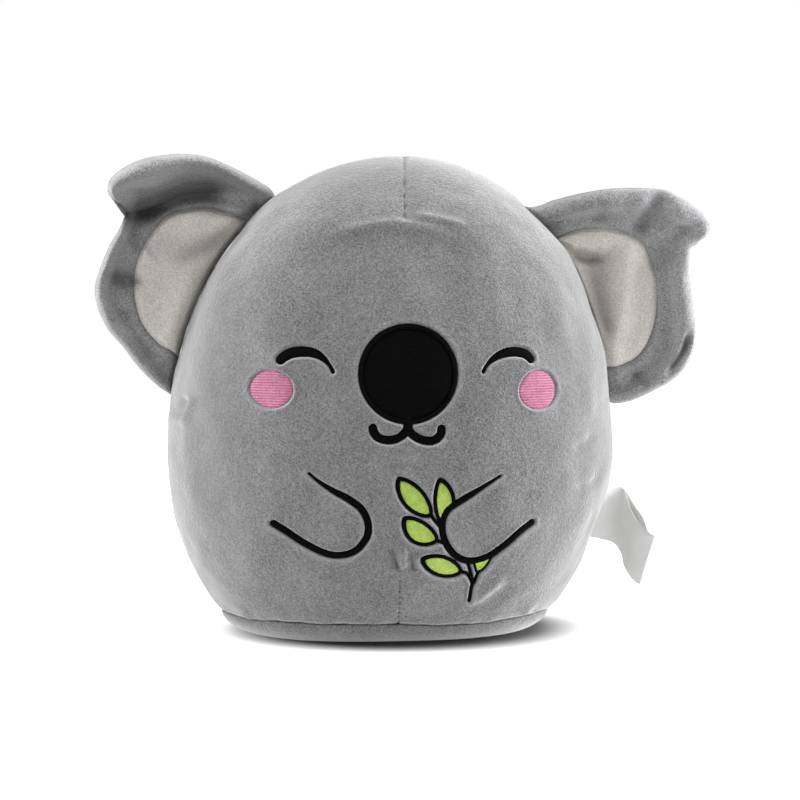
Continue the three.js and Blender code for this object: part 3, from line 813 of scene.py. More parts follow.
FACE_LINES = (
    StitchLine(
        "mouth_stitching",
        places(
            -13.1, 109.4, -12.7, 107.4, -11.2, 105.4, -8.7, 104.1, -5.7, 103.6, -2.7, 104, -0.2, 105,
            2, 106.8, 3.3, 108.8,
        ),
        4.1,
    ),
    StitchLine(
        "mouth_stitching_left",
        places(
            4, 108.8, 5.4, 106.6, 8, 104.7, 11, 103.4, 13.6, 103, 16, 103.2, 18.2, 104.4, 19.7, 106.4,
            20, 108.6,
        ),
        4.1,
    ),
    StitchLine("mouth_middle", places(3.7, 112.6, 3.7, 110.8, 3.7, 107.8), 4.6),
    StitchLine(
        "right_eye_stitching",
        places(
            -56.3, 141.4, -54.3, 143.2, -52, 144.6, -49.6, 145.4, -47.2, 145.7, -44.7, 145.7,
            -42.1, 145.4, -38.9, 144.2, -35.8, 141.9, -33.4, 139, -31.9, 136.2,
        ),
        5.2,
        eye_taper,
    ),
    StitchLine(
        "left_eye_stitching",
        places(
            64.7, 141.2, 63.1, 142.9, 60.9, 144.2, 58.5, 144.8, 55.8, 145, 53.1, 144.8, 50.3, 144.1,
            47.2, 142.7, 44.5, 140.8, 42.2, 138.4, 40.7, 135.7,
        ),
        4.8,
        eye_taper,
    ),
)
ARM_LINES = (
    StitchLine(
        "right_arm_outline",
        places(
            -43.4, 87.5, -40.2, 84.6, -36, 81.6, -30.9, 78.6, -26.2, 76.2, -22.2, 73.5, -18.6, 70.5,
            -16.2, 66.6, -15.1, 62.2, -15.3, 57.8, -17.3, 53.9, -20.4, 50.3, -24.6, 48.1, -28.9, 47.5,
            -33.5, 47.9, -39, 49.7, -44.1, 52.2, -49.2, 55.2, -54.7, 59.1, -60, 62.7,
        ),
        3.5,
        arm_taper,
    ),
    StitchLine(
        "left_arm_outline",
        places(
            48.9, 85.4, 38.2, 79, 29.4, 73.7, 23.2, 69.4, 20.8, 63.1, 21.7, 55.7, 25.1, 49.2,
            30.5, 44.6, 37.4, 43.4, 44.4, 45.6, 51.9, 50.9, 59.2, 57.4, 65.6, 61.7,
        ),
        3.4,
        arm_taper,
    ),
)


@dataclass(frozen=True)
class Leaf:
    """One leaf of the sprig: its tip, its foot, and how far its two edges bulge as shares of its length."""

    name: str
    tip: Place
    foot: Place
    bulges: tuple[float, float]
    line: float = 2.0

    def seen_outline(self, inset: float) -> Path:
        """The outline, inset, without the part that the left paw covers, from the paw round to the paw."""
        edge = np.array(leaf_outline(self.tip, self.foot, self.bulges, inset))
        edge = resample_loop(edge, LEAF_POINTS)
        covered = inside(edge, ARM_LINES[1].curve(120))
        if covered.any():
            start = -int(np.argmax(covered))
            edge = np.roll(edge, start, axis=0)[~np.roll(covered, start)]
        return tuple(map(tuple, edge))


LEAVES = (
    Leaf("leaf_1", (-1.6, 86.0), (15.5, 66.1), (0.255, 0.2)),
    Leaf("leaf_2", (19.2, 85.8), (20.6, 61.5), (0.16, 0.29)),
    Leaf("leaf_3", (1.1, 66.4), (19.2, 53.7), (0.35, 0.2)),
    Leaf("leaf_4", (10.0, 45.5), (31.8, 37.7), (0.247, 0.235)),
    Leaf("leaf_5", (41.2, 60.8), (39.2, 36.6), (0.151, 0.274), 1.3),
)
STEMS = (
    StitchLine("sprig_stem", places(33.6, 43.8, 35.6, 37.9, 36.7, 33.1, 36.2, 28.1, 35.7, 22.9), 1.7),
    StitchLine("sprig_stem_to_leaf_1", places(15.2, 66.9, 17.4, 63.9, 20.4, 60.4), 1.7),
    StitchLine("sprig_stem_to_leaf_3", places(17.9, 54.5, 20.5, 53.4, 23.4, 53.2), 1.7),
    StitchLine("sprig_stem_to_leaf_4", places(31.5, 37.8, 34, 36.9, 36.4, 33.2), 1.7),
    StitchLine("sprig_stem_to_leaf_5", places(39.3, 36.9, 37.9, 33.1, 36.3, 30.1), 1.7),
)


# What draws the front of the toy in and out, apart from its sewn edges


FRONT_CREASES = (
    Crease(places(38, 203, 26, 206, 16, 208.2, 5, 209.4), -1.5, 1.9),
    Crease(places(-38, 199, -16, 203, -2, 204.8, 8, 204.2, 18, 202.6, 34, 199.4), -1.9, 2.4),
    Crease(places(-80, 196, -40, 205, 0, 208, 36, 206, 72, 198), -2.4, 12),
    Crease(places(-40, 193, -8, 196.6, 5, 197.2, 18, 196.2, 46, 192), 1.3, 6.5),
    Crease(places(-50, 184, -6, 187, 14, 187, 54, 182), 1, 12),
    Crease(places(-14, 202.6, -8, 203, -2, 203), 0.35, 0.7),
    Crease(places(-8, 200.6, -1, 201.2, 6, 201), 0.35, 0.7),
    Crease(places(-17, 89.4, -8, 91.4, 0.2, 90.9, 8, 89.6, 21, 90), 1, 2.4),
    Crease(places(-12, 95.4, 2, 95, 14, 94.6), -0.8, 2.6),
    Crease(places(-3.6, 53, -2.6, 47.6, -1, 43, 0.2, 38.6), 2.8, 1.3),
    Crease(places(1.2, 54, 2, 47.6, 2.4, 40), -2, 1.6),
    Crease(places(5.4, 51, 6.2, 45.5, 7.6, 39), 1.9, 1.4),
    Crease(places(34, 20.6, 40.9, 25.1, 48.1, 30.8, 54, 37), -1.3, 3.2),
    Crease(places(30, 20, 40, 20.4, 52, 26, 60, 34), 1.2, 4),
    Crease(places(-10, 99, 4, 96.4, 18, 98.2), 1.1, 4),
    Crease(places(-22, 118, -25, 134, -20, 152), 0.6, 5),
    Crease(places(30, 118, 33.5, 134, 28, 152), 0.6, 5),
    Crease(places(-100, 122.4, -102.4, 117.6, -103.9, 113.6, -104.8, 109), 2.6, 2.2),
    Crease(places(-95.6, 123, -98.8, 118.6, -101.2, 113, -102.6, 106), -1.6, 2.2),
    Crease(places(101, 104, 95, 99, 86, 97), 1.1, 2.6),
    Crease(places(104, 82, 97, 78, 88, 78), 0.9, 2.4),
    Crease(places(-88, 146, -70, 143, -60, 143.6), 0.5, 2),
    Crease(places(-80, 92, -64, 88, -50, 89), 0.5, 4),
    Crease(places(60, 84, 74, 80, 88, 84), 0.5, 4),
)


def broad_relief(p: Array) -> Array:
    """How far the stuffed front stands off the plain egg, without its seams and stitches.

    Args:
        p: Places on the egg, one a row.

    Returns:
        The sum of the creases and of a soft unevenness, outwards in millimetres. The unevenness calms
        down toward the crown.
    """
    seen = p[:, [0, 2]]
    relief = 0.45 * undulation(p, 46.0, 3) + 0.16 * undulation(p, 17.0, 8)
    relief *= 1 - 0.8 * smoothstep(p[:, 2], 212, 232)
    for crease in FRONT_CREASES:
        relief = relief + np.where(p[:, 1] < 10, crease.relief(seen), 0.0)
    return relief


def stitched_gap(seen: Array) -> Array:
    """Distance from each (x, z) to the nearest embroidery's edge, negative inside it."""
    nearest = np.linalg.norm(seen - np.array(NOSE_PLACE), axis=1) - NOSE_RADIUS
    for place, half in CHEEKS:
        away = np.linalg.norm((seen - np.array(place)) / np.array(half), axis=1)
        nearest = np.minimum(nearest, (away - 1) * half[1])
    for line in (*FACE_LINES, *ARM_LINES, *STEMS):
        nearest = np.minimum(nearest, line.gap(seen))
    for leaf in LEAVES:
        figure = StitchFill(leaf.name, leaf.seen_outline(0.0), GREEN_THREAD, corners=True)
        nearest = np.minimum(nearest, figure.gap(seen))
    return nearest


@dataclass
class StuffedBody:
    """The front, back and base panels over the filling, sewn edge to edge.

    sink is how far stitches pull the front in. drop_reach is how far up a panel its lower rows are moved
    to end on the base seam. seam_places are the (x, z) of that seam as seen in front.
    """

    egg: Egg = EGG
    cloth: float = 1.6
    spokes: int = 480
    eye_level: float = 112.0
    corner_height: float = 12.6
    sink: float = 1.7
    drop_reach: float = 30.0
    seam_depth: float = 0.95
    pucker: float = 0.2
    base_curve: Path = ((0.0, 1.0), (2.6, 0.42), (9.0, 0.06), (27.0, 0.0))
    dart_x: float = 10.3
    dart_depth: float = 1.35
    dart_width: float = 0.75
    dart_pitch: float = 3.2
    upper_dart_foot: float = 205.0
    lower_dart_top: float = 40.0
    seam_places: Path = places(
        -96, 12.6, -80.3, 12, -70, 11, -60.6, 11.8, -46.7, 11.6, -26.5, 11.4, 1, 11.6, 20.9, 10.2,
        45.6, 10.2, 63.6, 11.4, 77.4, 12.4, 96, 12.6,
    )

    def base_seam(self, x: Array, y: Array) -> Array:
        """The height of the seam round the base: as photographed in front, and a little lower behind."""
        across, height = np.array(self.seam_places).T
        front = np.interp(x, across, height)
        return np.where(y < self.egg.side_seam, front, height[-1] - 2.0 * smoothstep(y, 14.0, 50.0))

    def rows(self, facing: int, count: int) -> tuple[Array, Array]:
        """Where a panel's rows start, inside the egg, and which way they reach.

        Row k lies in a plane through both side seams at one height and through a point of the panel's
        middle line. Both run from the base seam to the crown in the same shares of their lengths.

        Args:
            facing: -1 for the front and 1 for the back.
            count: How many rows there are.

        Returns:
            A start on the seam's plane and a unit vector toward the middle line for each row.
        """
        egg = self.egg
        start = np.array([egg.lean * self.eye_level / egg.height, egg.side_seam, self.eye_level])
        lift = np.radians(np.linspace(-80, 90, 2400))
        level, up = np.cos(lift), np.sin(lift)
        arch = egg.cast(start, joined(level, 0 * up, up))[:, [0, 2]]
        line = egg.cast(start, joined(0 * up, facing * level, up))[:, 1:]
        arch = arch[arch[:, 1] >= self.corner_height]
        line = line[line[:, 1] >= self.base_seam(start[:1], np.array([facing * 60.0]))]
        at = np.linspace(0, 1, 200)
        height = points_at(line, at)[:, 1]
        density = 1 + 0.9 * smoothstep(height, 8, 20) * smoothstep(-height, -180, -165) * (facing < 0)
        share = np.minimum(spread(density + 1.2 * (at < 0.03), count), 0.9985)
        seam, middle = points_at(arch, share)[:, 1], points_at(line, share)
        origin = joined(egg.middle(seam), np.full(count, egg.side_seam), seam)
        ahead = joined(0 * seam, middle[:, 0] - egg.side_seam, middle[:, 1] - seam)
        return origin, ahead / np.linalg.norm(ahead, axis=1)[:, None]

    def lay_out(self, facing: int, rows: int, columns: int) -> Array:
        """A panel's places on the egg, as rows from one side seam round to the other."""
        origin, ahead = self.rows(facing, rows)
        at = np.linspace(0, 1, 300)
        from_middle = np.abs(at - 0.5)
        density = 1 + 0.6 * (from_middle < 0.24) * (facing < 0) + 1.0 * (from_middle > 0.485)
        turn = np.pi * spread(density, columns)[None, :, None]
        direction = np.sin(turn) * ahead[:, None] - np.cos(turn) * np.array([1.0, 0.0, 0.0])
        p = self.egg.cast(origin[:, None], direction)
        climb = np.linalg.norm(np.diff(p, axis=0), axis=2)
        climbed = np.concatenate([np.zeros((1, columns)), np.cumsum(climb, axis=0)])
        drop = self.base_seam(p[0, :, 0], p[0, :, 1]) - p[0, :, 2]
        return self.egg.slide(p, drop * (1 - smoothstep(climbed, 0.0, self.drop_reach)))

    @staticmethod
    def from_edge(p: Array) -> Array:
        """How far each place of a grid lies from the grid's nearest border, along rows and columns.

        The last row is the crown, where both panels' rows end, so it is no border.
        """
        best = np.full(p.shape[:2], np.inf)
        for axis in (0, 1):
            step = np.linalg.norm(np.diff(p, axis=axis), axis=2)
            start = np.zeros_like(step.take([0], axis=axis))
            run = np.concatenate([start, np.cumsum(step, axis=axis)], axis=axis)
            rest = run.take([-1], axis=axis) - run
            best = np.minimum(best, run if axis == 0 else np.minimum(run, rest))
        return best

    def dart(self, p: Array, facing: int) -> Array:
        """The sewn darts: a fine groove that a stitch pulls deeper every so far, and a broad pull.

        Each panel has one over the base seam, and the front has one at the crown.
        """
        x, y, z = p[:, 0], p[:, 1], p[:, 2]
        toward = np.where(y * facing > -8, 1.0, 0.0)
        lower = smoothstep(z, self.lower_dart_top, self.lower_dart_top - 8)
        spans = [(x - 1.0 + 0.02 * (z - 20), lower)]
        if facing < 0:
            upper = smoothstep(z, self.upper_dart_foot, self.upper_dart_foot + 5)
            spans.append((x - self.dart_x - 0.1 * y, upper * (1 - 0.6 * smoothstep(z, 234, 240))))
        stitch = 0.65 + 0.35 * np.cos(2 * np.pi * (z - 0.45 * y) / self.dart_pitch)
        relief = np.zeros(len(p))
        for off, fade in spans:
            groove = self.dart_depth * bell(off, 0.0, self.dart_width) * stitch + 0.35 * bell(off, 0.0, 5.0)
            relief -= groove * fade * toward
        return relief

    @staticmethod
    def underside(grid: Array, gap: Array) -> Array:
        """0 above stitches and 1 below them, where the gap widens downwards, row by row."""
        run = np.maximum(np.linalg.norm(np.gradient(grid, axis=0), axis=2), 1e-6)
        return (0.5 - 0.5 * np.clip(np.gradient(gap, axis=0) / run * 1.3, -1, 1)).ravel()

    def panel(self, name: str, facing: int, rows: int, columns: int) -> Piece:
        """A panel as a closed skin: its pile side, its turned edge and its backing.

        Beside the seam it swells and then dips, and beside stitches it stands up before they sink it.

        Args:
            name: The piece's name.
            facing: -1 for the front and 1 for the back.
            rows: How many rows cover it from the base seam to the crown.
            columns: How many places each row has.

        Returns:
            The panel, whose vertices keep how much painted highlight the pile gets just below stitches.
        """
        grid = self.lay_out(facing, rows, columns)
        edge = self.from_edge(grid).ravel()
        p = grid.reshape(-1, 3)
        out = self.egg.normal(p)
        relief = broad_relief(p) if facing < 0 else 0.45 * undulation(p, 46.0, 3)
        relief = relief * smoothstep(edge, 0.0, 8.0)
        relief += self.dart(p, facing)
        relief += 0.35 * bell(edge, 6.0, 4.5) - self.seam_depth * bell(edge, 0.0, 1.3)
        relief += self.pucker * undulation(p, 8.0, 21) * bell(edge, 0.0, 7.0)
        combed = np.zeros(len(p))
        if facing < 0:
            near = (p[:, 1] < -30) & (p[:, 2] > 14) & (p[:, 2] < 170) & (np.abs(p[:, 0]) < 92)
            gap = np.full(len(p), 99.0)
            gap[near] = stitched_gap(p[near][:, [0, 2]])
            relief += 0.45 * bell(gap, 1.2, 0.9) - self.sink * smoothstep(-gap, -0.55, 0.35)
            # Painted highlight: a thin lighter rim of pile just below the stitched figures.
            combed = bell(gap, 0.45, 0.6) * self.underside(grid, gap.reshape(rows, columns))
        outer = (p + out * relief[:, None]).reshape(grid.shape)
        sheet = outer - out.reshape(grid.shape) * (1.5 * self.cloth)
        picks = np.linspace(columns - 1, 0, 16).astype(int)
        piece = closed_rows(name, np.concatenate([outer, sheet[:, picks]], axis=1))
        mark(piece, "combed", np.pad(combed.reshape(rows, columns), ((0, 0), (0, len(picks)))))
        return piece

    def base(self) -> Piece:
        """The base: flat where it rests, then curving up to its seam.

        Its side follows a cubic Bézier curve whose four handles give how far it stands in from the seam,
        in millimetres, and how high it is as a share of the seam's height.
        """
        turn = np.linspace(0, 2 * np.pi, self.spokes, endpoint=False)
        n = self.egg.section_power
        c, s = np.cos(turn), np.sin(turn)
        across, along = np.sign(c) * np.abs(c) ** (2 / n), np.sign(s) * np.abs(s) ** (2 / n)
        seam = np.full(self.spokes, 11.0)
        for _ in range(4):
            x, y = self.egg.half_width(seam) * across, self.egg.half_depth(s, seam) * along
            seam = self.base_seam(x, y)
        reach = np.hypot(x, y)
        foot = 1 - self.base_curve[-1][0] / reach
        rows = []
        for share in (0.02, 0.25, 0.5, 0.75, 0.93):
            rows.append(joined(foot * share * x, foot * share * y, np.zeros_like(x)))
        for t in np.linspace(1, 0, 34):
            weights = np.array([(1 - t) ** 3, 3 * (1 - t) ** 2 * t, 3 * (1 - t) * t**2, t**3])
            inset, height = weights @ np.array(self.base_curve)
            away = t * 24.0
            bulge = 0.35 * bell(away, 5.0, 3.5) - 0.7 * bell(away, 0.0, 1.2)
            scale = 1 - (inset - bulge) / reach
            rows.append(joined(scale * x, scale * y, seam * height))
        edge = rows[-1]
        for inner in ((0.975, 0.975, 1.0), (0.9, 0.9, 0.9), (0.6, 0.6, 0.3)):
            rows.append(edge * np.array(inner))
        return closed_rows("base_panel_plush", np.stack(rows))

    def build(self) -> None:
        """Makes the three panels and lays them over the filling."""
        front = self.panel("front_panel_plush", -1, 400, 540)
        back = self.panel("back_panel_plush", 1, 130, 180)
        filled = ["front_panel", "body_filling", "embroidery_backing"]
        for piece, nodes in ((front, filled), (back, ["back_panel"]), (self.base(), ["base_panel"])):
            settle(piece, nodes, BODY_PLUSH)


@dataclass
class Embroidery:
    """Everything stitched on the front: raised satin lines, and filled areas inside them.

    pitch is from one thread to the next, steps the number of places to a thread, lift how far the stitches
    stand off the stuffed front before their own height, and under where their underside lies.
    """

    egg: Egg = EGG
    pitch: float = 0.44
    steps: float = 3.5
    lift: float = -1.15
    under: float = -0.8
    outline_points: int = 260

    def lay(self, seen: Array, height: Array | float) -> Array:
        """Puts flat places on the stuffed front, raised along its normal."""
        p = self.egg.on_front(seen.reshape(-1, 2))
        high = broad_relief(p) + np.broadcast_to(height, seen.shape[:-1]).reshape(-1) + self.lift
        return (p + self.egg.normal(p) * high[:, None]).reshape(*seen.shape[:-1], 3)

    def line(self, figure: StitchLine, nodes: list[str]) -> None:
        """A satin line: a round-topped band whose threads run across it.

        The height over the cloth is height·√(1 - |s|^2.4), for s from -1 to 1 across, plus one small
        rounded rib for each thread.
        """
        rough = figure.curve(200)
        if not figure.closed:
            reach = figure.width / 2 * figure.taper(np.array([0.0, 1.0]))
            first = rough[:1] + unit(rough[:1] - rough[1:2]) * reach[0]
            last = rough[-1:] + unit(rough[-1:] - rough[-2:-1]) * reach[1]
            rough = np.vstack([first, rough, last])
        length = float(np.linalg.norm(np.diff(rough, axis=0), axis=1).sum())
        count = max(24, int(length / self.pitch * self.steps))
        if figure.closed:
            middle = figure.curve(count)
            along = unit(np.roll(middle, -1, axis=0) - np.roll(middle, 1, axis=0))
        else:
            middle = resample(rough, count)
            along = unit(np.gradient(middle, axis=0))
        side = joined(-along[:, 1], along[:, 0])
        share = np.linspace(0, 1, count)
        run = share * length
        thread = np.abs(np.sin(np.pi * run / self.pitch))
        threads = np.arange(0, length + 2, self.pitch)
        uneven = np.random.default_rng(len(figure.name)).normal(0, 0.05, len(threads))
        half = figure.width / 2 * figure.taper(share) * (1 + np.interp(run, threads, uneven))
        if not figure.closed:
            half = half * np.maximum(quarter_round(np.minimum(run, length - run), half), math.sqrt(0.02))
        across = np.sin(np.linspace(-np.pi / 2, np.pi / 2, 11))
        dome = np.sqrt(np.clip(1 - np.abs(across) ** 2.4, 0, 1))
        low_rise = np.minimum(1.0, half / (figure.width / 2) + 0.2)
        height = (figure.height * low_rise + 0.1 * thread)[:, None] * dome[None, :]
        band = middle[:, None, :] + side[:, None, :] * (across[None, :] * half[:, None])[..., None]
        rings = np.concatenate([self.lay(band, height), self.lay(band[:, [10, 5, 0]], self.under)], axis=1)
        if figure.closed:
            rings = np.concatenate([rings, rings[:1]])
        piece = closed_rows(figure.name + "_thread", rings, not figure.closed)
        settle(piece, nodes, BLACK_THREAD)

    def fill(self, figure: StitchFill, slot: str, nodes: list[str]) -> None:
        """A filled area: a low cushion of parallel rows of thread, rounded down at its outline."""
        edge = figure.edge(self.outline_points)
        shares = np.concatenate([np.linspace(0.01, 0.93, 60), 0.93 + 0.07 * np.linspace(0.1, 1, 8)])
        area = rings_about(edge.mean(axis=0), edge, shares)
        turn = figure.row_turn
        rows = area[..., 1] * math.cos(turn) - area[..., 0] * math.sin(turn)
        ribs = figure.row_height * np.abs(np.sin(np.pi * rows / figure.row))
        dome = np.sqrt(np.clip(1 - shares**14, 0, 1))[:, None]
        rings = [self.lay(area, (figure.height + ribs) * dome), self.lay(area[[-1, 30]], self.under)]
        piece = closed_rows(figure.name + "_fill_thread", np.concatenate(rings))
        settle(piece, nodes, figure.finish)

    def build(self) -> None:
        """Nose, mouth, eyes, cheeks, paws and sprig."""
        x, z = NOSE_PLACE
        inner = NOSE_RADIUS - NOSE_BORDER
        nose = StitchFill("nose_patch", round_outline(x, z, inner, inner), NOSE_THREAD, 0.75, 0.9, 0.04)
        self.fill(nose, "black_thread", ["nose_patch"])
        mid = NOSE_RADIUS - NOSE_BORDER / 2
        ring = round_outline(x, z, mid, mid)
        border = StitchLine("nose_border", ring, NOSE_BORDER, closed=True, height=1.25)
        self.line(border, ["nose_border"])
        for figure in FACE_LINES:
            self.line(figure, ["mouth_stitching" if "mouth" in figure.name else figure.name])
        for side, (place, half) in zip(Side, CHEEKS):
            outline = round_outline(*place, *half)
            cheek = StitchFill(f"{side.word}_cheek", outline, PINK_THREAD, 0.6, 1.28, 0.22)
            self.fill(cheek, "pink_thread", [f"{side.word}_cheek_stitching"])
        right, left = ARM_LINES
        self.line(right, ["right_arm_outline"])
        self.line(left, ["left_arm_and_sprig_outline"])
        self.sprig()

    def sprig(self) -> None:
        """The leaves with their outlines, behind the paw, and the stems that carry them."""
        for leaf in LEAVES:
            path = leaf.seen_outline(leaf.line / 2)
            if len(path) == LEAF_POINTS:
                path = (*path, path[0])
            line = StitchLine(leaf.name + "_outline", path[::4], leaf.line, height=0.9)
            self.line(line, ["left_arm_and_sprig_outline"])
            outline = leaf.seen_outline(leaf.line * 0.8)
            fill = StitchFill(leaf.name, outline, GREEN_THREAD, 0.5, 0.8, 0.1, -0.95, True)
            self.fill(fill, "green_thread", [leaf.name])
        for stem in STEMS:
            self.line(stem, ["left_arm_and_sprig_outline"])


# Ears


@dataclass
class Ear:
    """A padded bowl of two layers of plush, sewn into the side seam along its root.

    outline holds (x, z, lip radius) from the root's lower end round to its upper one, and patch the
    (x, z) of the cream lining's edge the same way. Both are as seen from the front. The border stands
    rim_depth forward of the seam at the top, and low_rim of that at the bottom. The lip stands lip_height
    times its radius over the middle sheet, and its crest lies lip_crest radii in from the edge. Pile that
    faces down gets painted shade in its colour, as under a light from above, and so does pile in creases.
    """

    side: Side
    outline: Path
    patch: Path
    centre: Place
    rim_depth: float
    low_rim: float
    creases: tuple[Crease, ...]
    nap: float
    root_low: float = 119.0
    root_high: float = 218.0
    lip_height: float = 1.3
    lip_crest: float = 1.0
    egg: Egg = EGG
    spokes: int = 300
    stand_off: float = 0.7
    rise_reach: float = 37.0
    rise_height: float = 120.0
    edge_radius: float = 4.0
    seam_depth: float = 1.5
    root_swell: float = 3.0
    full_press: float = 7.0
    layers_apart: float = 3.0
    under: float = 1.8
    edge_path: Array = field(init=False)
    root_path: Array = field(init=False)
    patch_path: Array = field(init=False)
    lip: Array = field(init=False)

    def __post_init__(self) -> None:
        """Works out the curves that bound the ear."""
        levels = np.linspace(self.root_low, self.root_high, 80)
        self.root_path = resample(self.egg.seam(levels, self.side, self.stand_off), 60)
        marks = np.array(self.outline, float)
        marks[0, :2], marks[-1, :2] = self.root_path[0], self.root_path[-1]
        smooth = smooth_curve(marks, self.spokes)
        self.edge_path, self.lip = smooth[:, :2], smooth[:, 2]
        patch = np.array(self.patch, float)
        for end in (0, -1):
            patch[end] = self.root_path[self.nearest_root(patch[end])]
        self.patch_path = smooth_curve(patch, self.spokes)

    def nearest_root(self, place: Array) -> int:
        """Which of the root's points is nearest to a place."""
        return int(np.argmin(np.linalg.norm(self.root_path - place, axis=1)))

    def measure(self, p: Array) -> tuple[Array, Array, Array]:
        """Distance from the free edge, the lip's radius there, and distance from the root.

        The radius is an average over the edge's points, each with a weight of
        e^(-(distance - least distance) / 3 mm), so it changes softly from one stretch to another.
        """
        edge = self.edge_path[::3]
        away, _ = distance_to_path(p, edge)
        gaps = np.linalg.norm(p[:, None] - edge[None], axis=2)
        weight = np.exp((gaps.min(axis=1, keepdims=True) - gaps) / 3.0)
        radius = weight @ self.lip[::3] / weight.sum(axis=1)
        root, _ = distance_to_path(p, self.root_path[::3])
        return away, radius, root

    def bowl(self) -> tuple[Array, Array, Array]:
        """Round the bowl's centre by angle: how far the border lies, and how far it stands forward.

        The border rises away from the root and up the ear. Both are softened over some degrees.
        """
        loop = np.vstack([self.edge_path, self.root_path[1:-1][::-1]])
        out, _ = distance_to_path(loop, self.root_path[::6])
        up = smoothstep((loop[:, 1] - self.root_low) / self.rise_height, 0.3, 1.0)
        rise = self.rim_depth * np.minimum(1, out / self.rise_reach)
        rise *= self.low_rim + (1 - self.low_rim) * up
        ray = loop - np.array(self.centre)
        angle = np.arctan2(ray[:, 1], ray[:, 0])
        order = np.argsort(angle)
        even = np.linspace(-np.pi, np.pi, 361)[:-1]
        kernel = np.hanning(17) / np.hanning(17).sum()
        soft = []
        for value in (np.linalg.norm(ray, axis=1), rise):
            table = np.interp(even, angle[order], value[order], period=2 * np.pi)
            soft.append(np.convolve(np.tile(table, 3), kernel, "same")[360:720])
        return even, soft[0], soft[1]

    def middle(self, p: Array) -> Array:
        """The Y of the ear's middle sheet: a shallow bowl whose border stands forward of the seam.

        It is the seam's Y, less rise·share^2.4, less 2(1 - share²) at the bowl's centre.
        """
        even, reach, rise = self.bowl()
        ray = p - np.array(self.centre)
        angle = np.arctan2(ray[:, 1], ray[:, 0])
        border = np.interp(angle, even, reach, period=2 * np.pi)
        share = np.clip(np.linalg.norm(ray, axis=1) / border, 0, 1.04)
        forward = np.interp(angle, even, rise, period=2 * np.pi)
        return self.egg.side_seam - forward * share**2.4 - 2 * (1 - share**2)

    def front(self, p: Array) -> Array:
        """The Y of the plush that faces the viewer.

        A roll of the lip's radius runs along the edge, round outside its crest and easing down inside, over
        padding that swells to 4.4 mm. Creases are pressed into both, and the lining's seam is a groove with
        a low welt on each side. The cloth swells once more beside the root, and all of it sinks toward it.
        """
        away, radius, root = self.measure(p)
        crest = self.lip_crest * radius
        outer = np.clip(1 - away / crest, 0, 1)
        inner = np.clip((away - crest) / (2 * radius - crest), 0, 1)
        roll = self.lip_height * radius * np.sqrt(1 - outer**2) * (0.5 + 0.5 * np.cos(np.pi * inner))
        edge = quarter_round(away, self.edge_radius)
        pad = 2.2 * edge + 2.2 * smoothstep(away, 0, 16)
        seam, _ = distance_to_path(p, self.patch_path[::4])
        raised = 0.5 * (roll + pad + np.hypot(roll - pad, 1.5 * edge)) + 0.3 * np.minimum(roll, pad)
        raised += 0.3 + 0.6 * bell(seam, 4.0, 3.0) - self.seam_depth * bell(seam, 0.0, 1.1)
        raised += self.root_swell * bell(root, 7.0, 7.0) * smoothstep(away, 2, 14)
        for crease in self.creases:
            raised += crease.relief(p) * smoothstep(root, 0.0, 8.0)
        place = joined(p[:, 0], np.zeros(len(p)), p[:, 1])
        uneven = 0.35 * undulation(place, 26.0, 5) + 0.05 * undulation(place, 9.0, 6)
        raised += uneven * smoothstep(away, 0, 5)
        sunk = 0.8 * bell(root, 0.0, 1.5) * smoothstep(away, 0, 8)
        return self.middle(p) - raised * smoothstep(root, -1.5, 3.5) + sunk

    def lay(self, p: Array) -> Array:
        """Places on the front from (x, z) of any shape."""
        flat = p.reshape(-1, 2)
        return joined(flat[:, 0], self.front(flat), flat[:, 1]).reshape(*p.shape[:-1], 3)

    def pressed(self, p: Array) -> Array:
        """How deep the creases press the cloth in at (x, z), as a share of full_press."""
        flat = p.reshape(-1, 2)
        depth = -sum(crease.relief(flat) for crease in self.creases)
        return np.clip(depth / self.full_press, 0, 1).reshape(p.shape[:-1])

    def rim(self) -> Piece:
        """The plush between the lining and the edge, as a band from the root's foot to its top.

        Its two end columns are laid along the root. Its underside follows its face.
        """
        edge, patch = self.edge_path, self.patch_path
        by_lip, by_lining = 0.5 * np.linspace(0, 1, 26) ** 1.6, 1 - 0.5 * np.linspace(1, 0, 24)[1:] ** 1.4
        across = np.concatenate([by_lip, by_lining])
        grid = edge[:, None, :] + across[None, :, None] * (patch - edge)[:, None, :]
        t = np.linspace(0, 1, len(edge))
        order = np.argsort(self.root_path[:, 1])
        for end in (0, -1):
            low, high = grid[end, 0, 1], grid[end, -1, 1]
            z = low + across * (high - low)
            x = np.interp(z, self.root_path[order, 1], self.root_path[order, 0])
            shift = joined(x, z) - grid[end]
            fade = np.exp(-((t if end == 0 else 1 - t) / 0.04))
            grid = grid + fade[:, None, None] * shift[None]
        outer = self.lay(grid)
        under = outer[:, ::-2] + np.array([0.0, self.under, 0.0])
        under[:, -1] = outer[:, 0] + np.array([0.0, 0.25, 0.0])
        made = closed_rows(f"{self.side.word}_ear_rim_plush", np.concatenate([outer, under], axis=1))
        # Painted shade: the colour darkens in creases and, by a share given for each ear, where the pile
        # faces down.
        dark = 0.8 * self.pressed(grid) + self.nap * facing_down(outer)
        mark(made, "folded", np.pad(dark, ((0, 0), (0, under.shape[1]))))
        return made

    def lining(self) -> Piece:
        """The cream patch, as rings about its own middle."""
        low, high = self.nearest_root(self.patch_path[0]), self.nearest_root(self.patch_path[-1])
        edge = np.vstack([self.patch_path, self.root_path[low + 1 : high][::-1]])
        edge = resample_loop(edge, self.spokes)
        shares = np.concatenate([np.linspace(0.01, 0.94, 56), 0.94 + 0.057 * np.linspace(0.1, 1, 10)])
        grid = rings_about(edge.mean(axis=0), edge, shares)
        outer = self.lay(grid)
        under = outer[::-4] + np.array([0.0, self.under, 0.0])
        made = closed_rows(f"{self.side.word}_ear_lining_plush", np.concatenate([outer, under]))
        # Painted shade in the lining's creases.
        mark(made, "folded", self.pressed(grid))
        return made

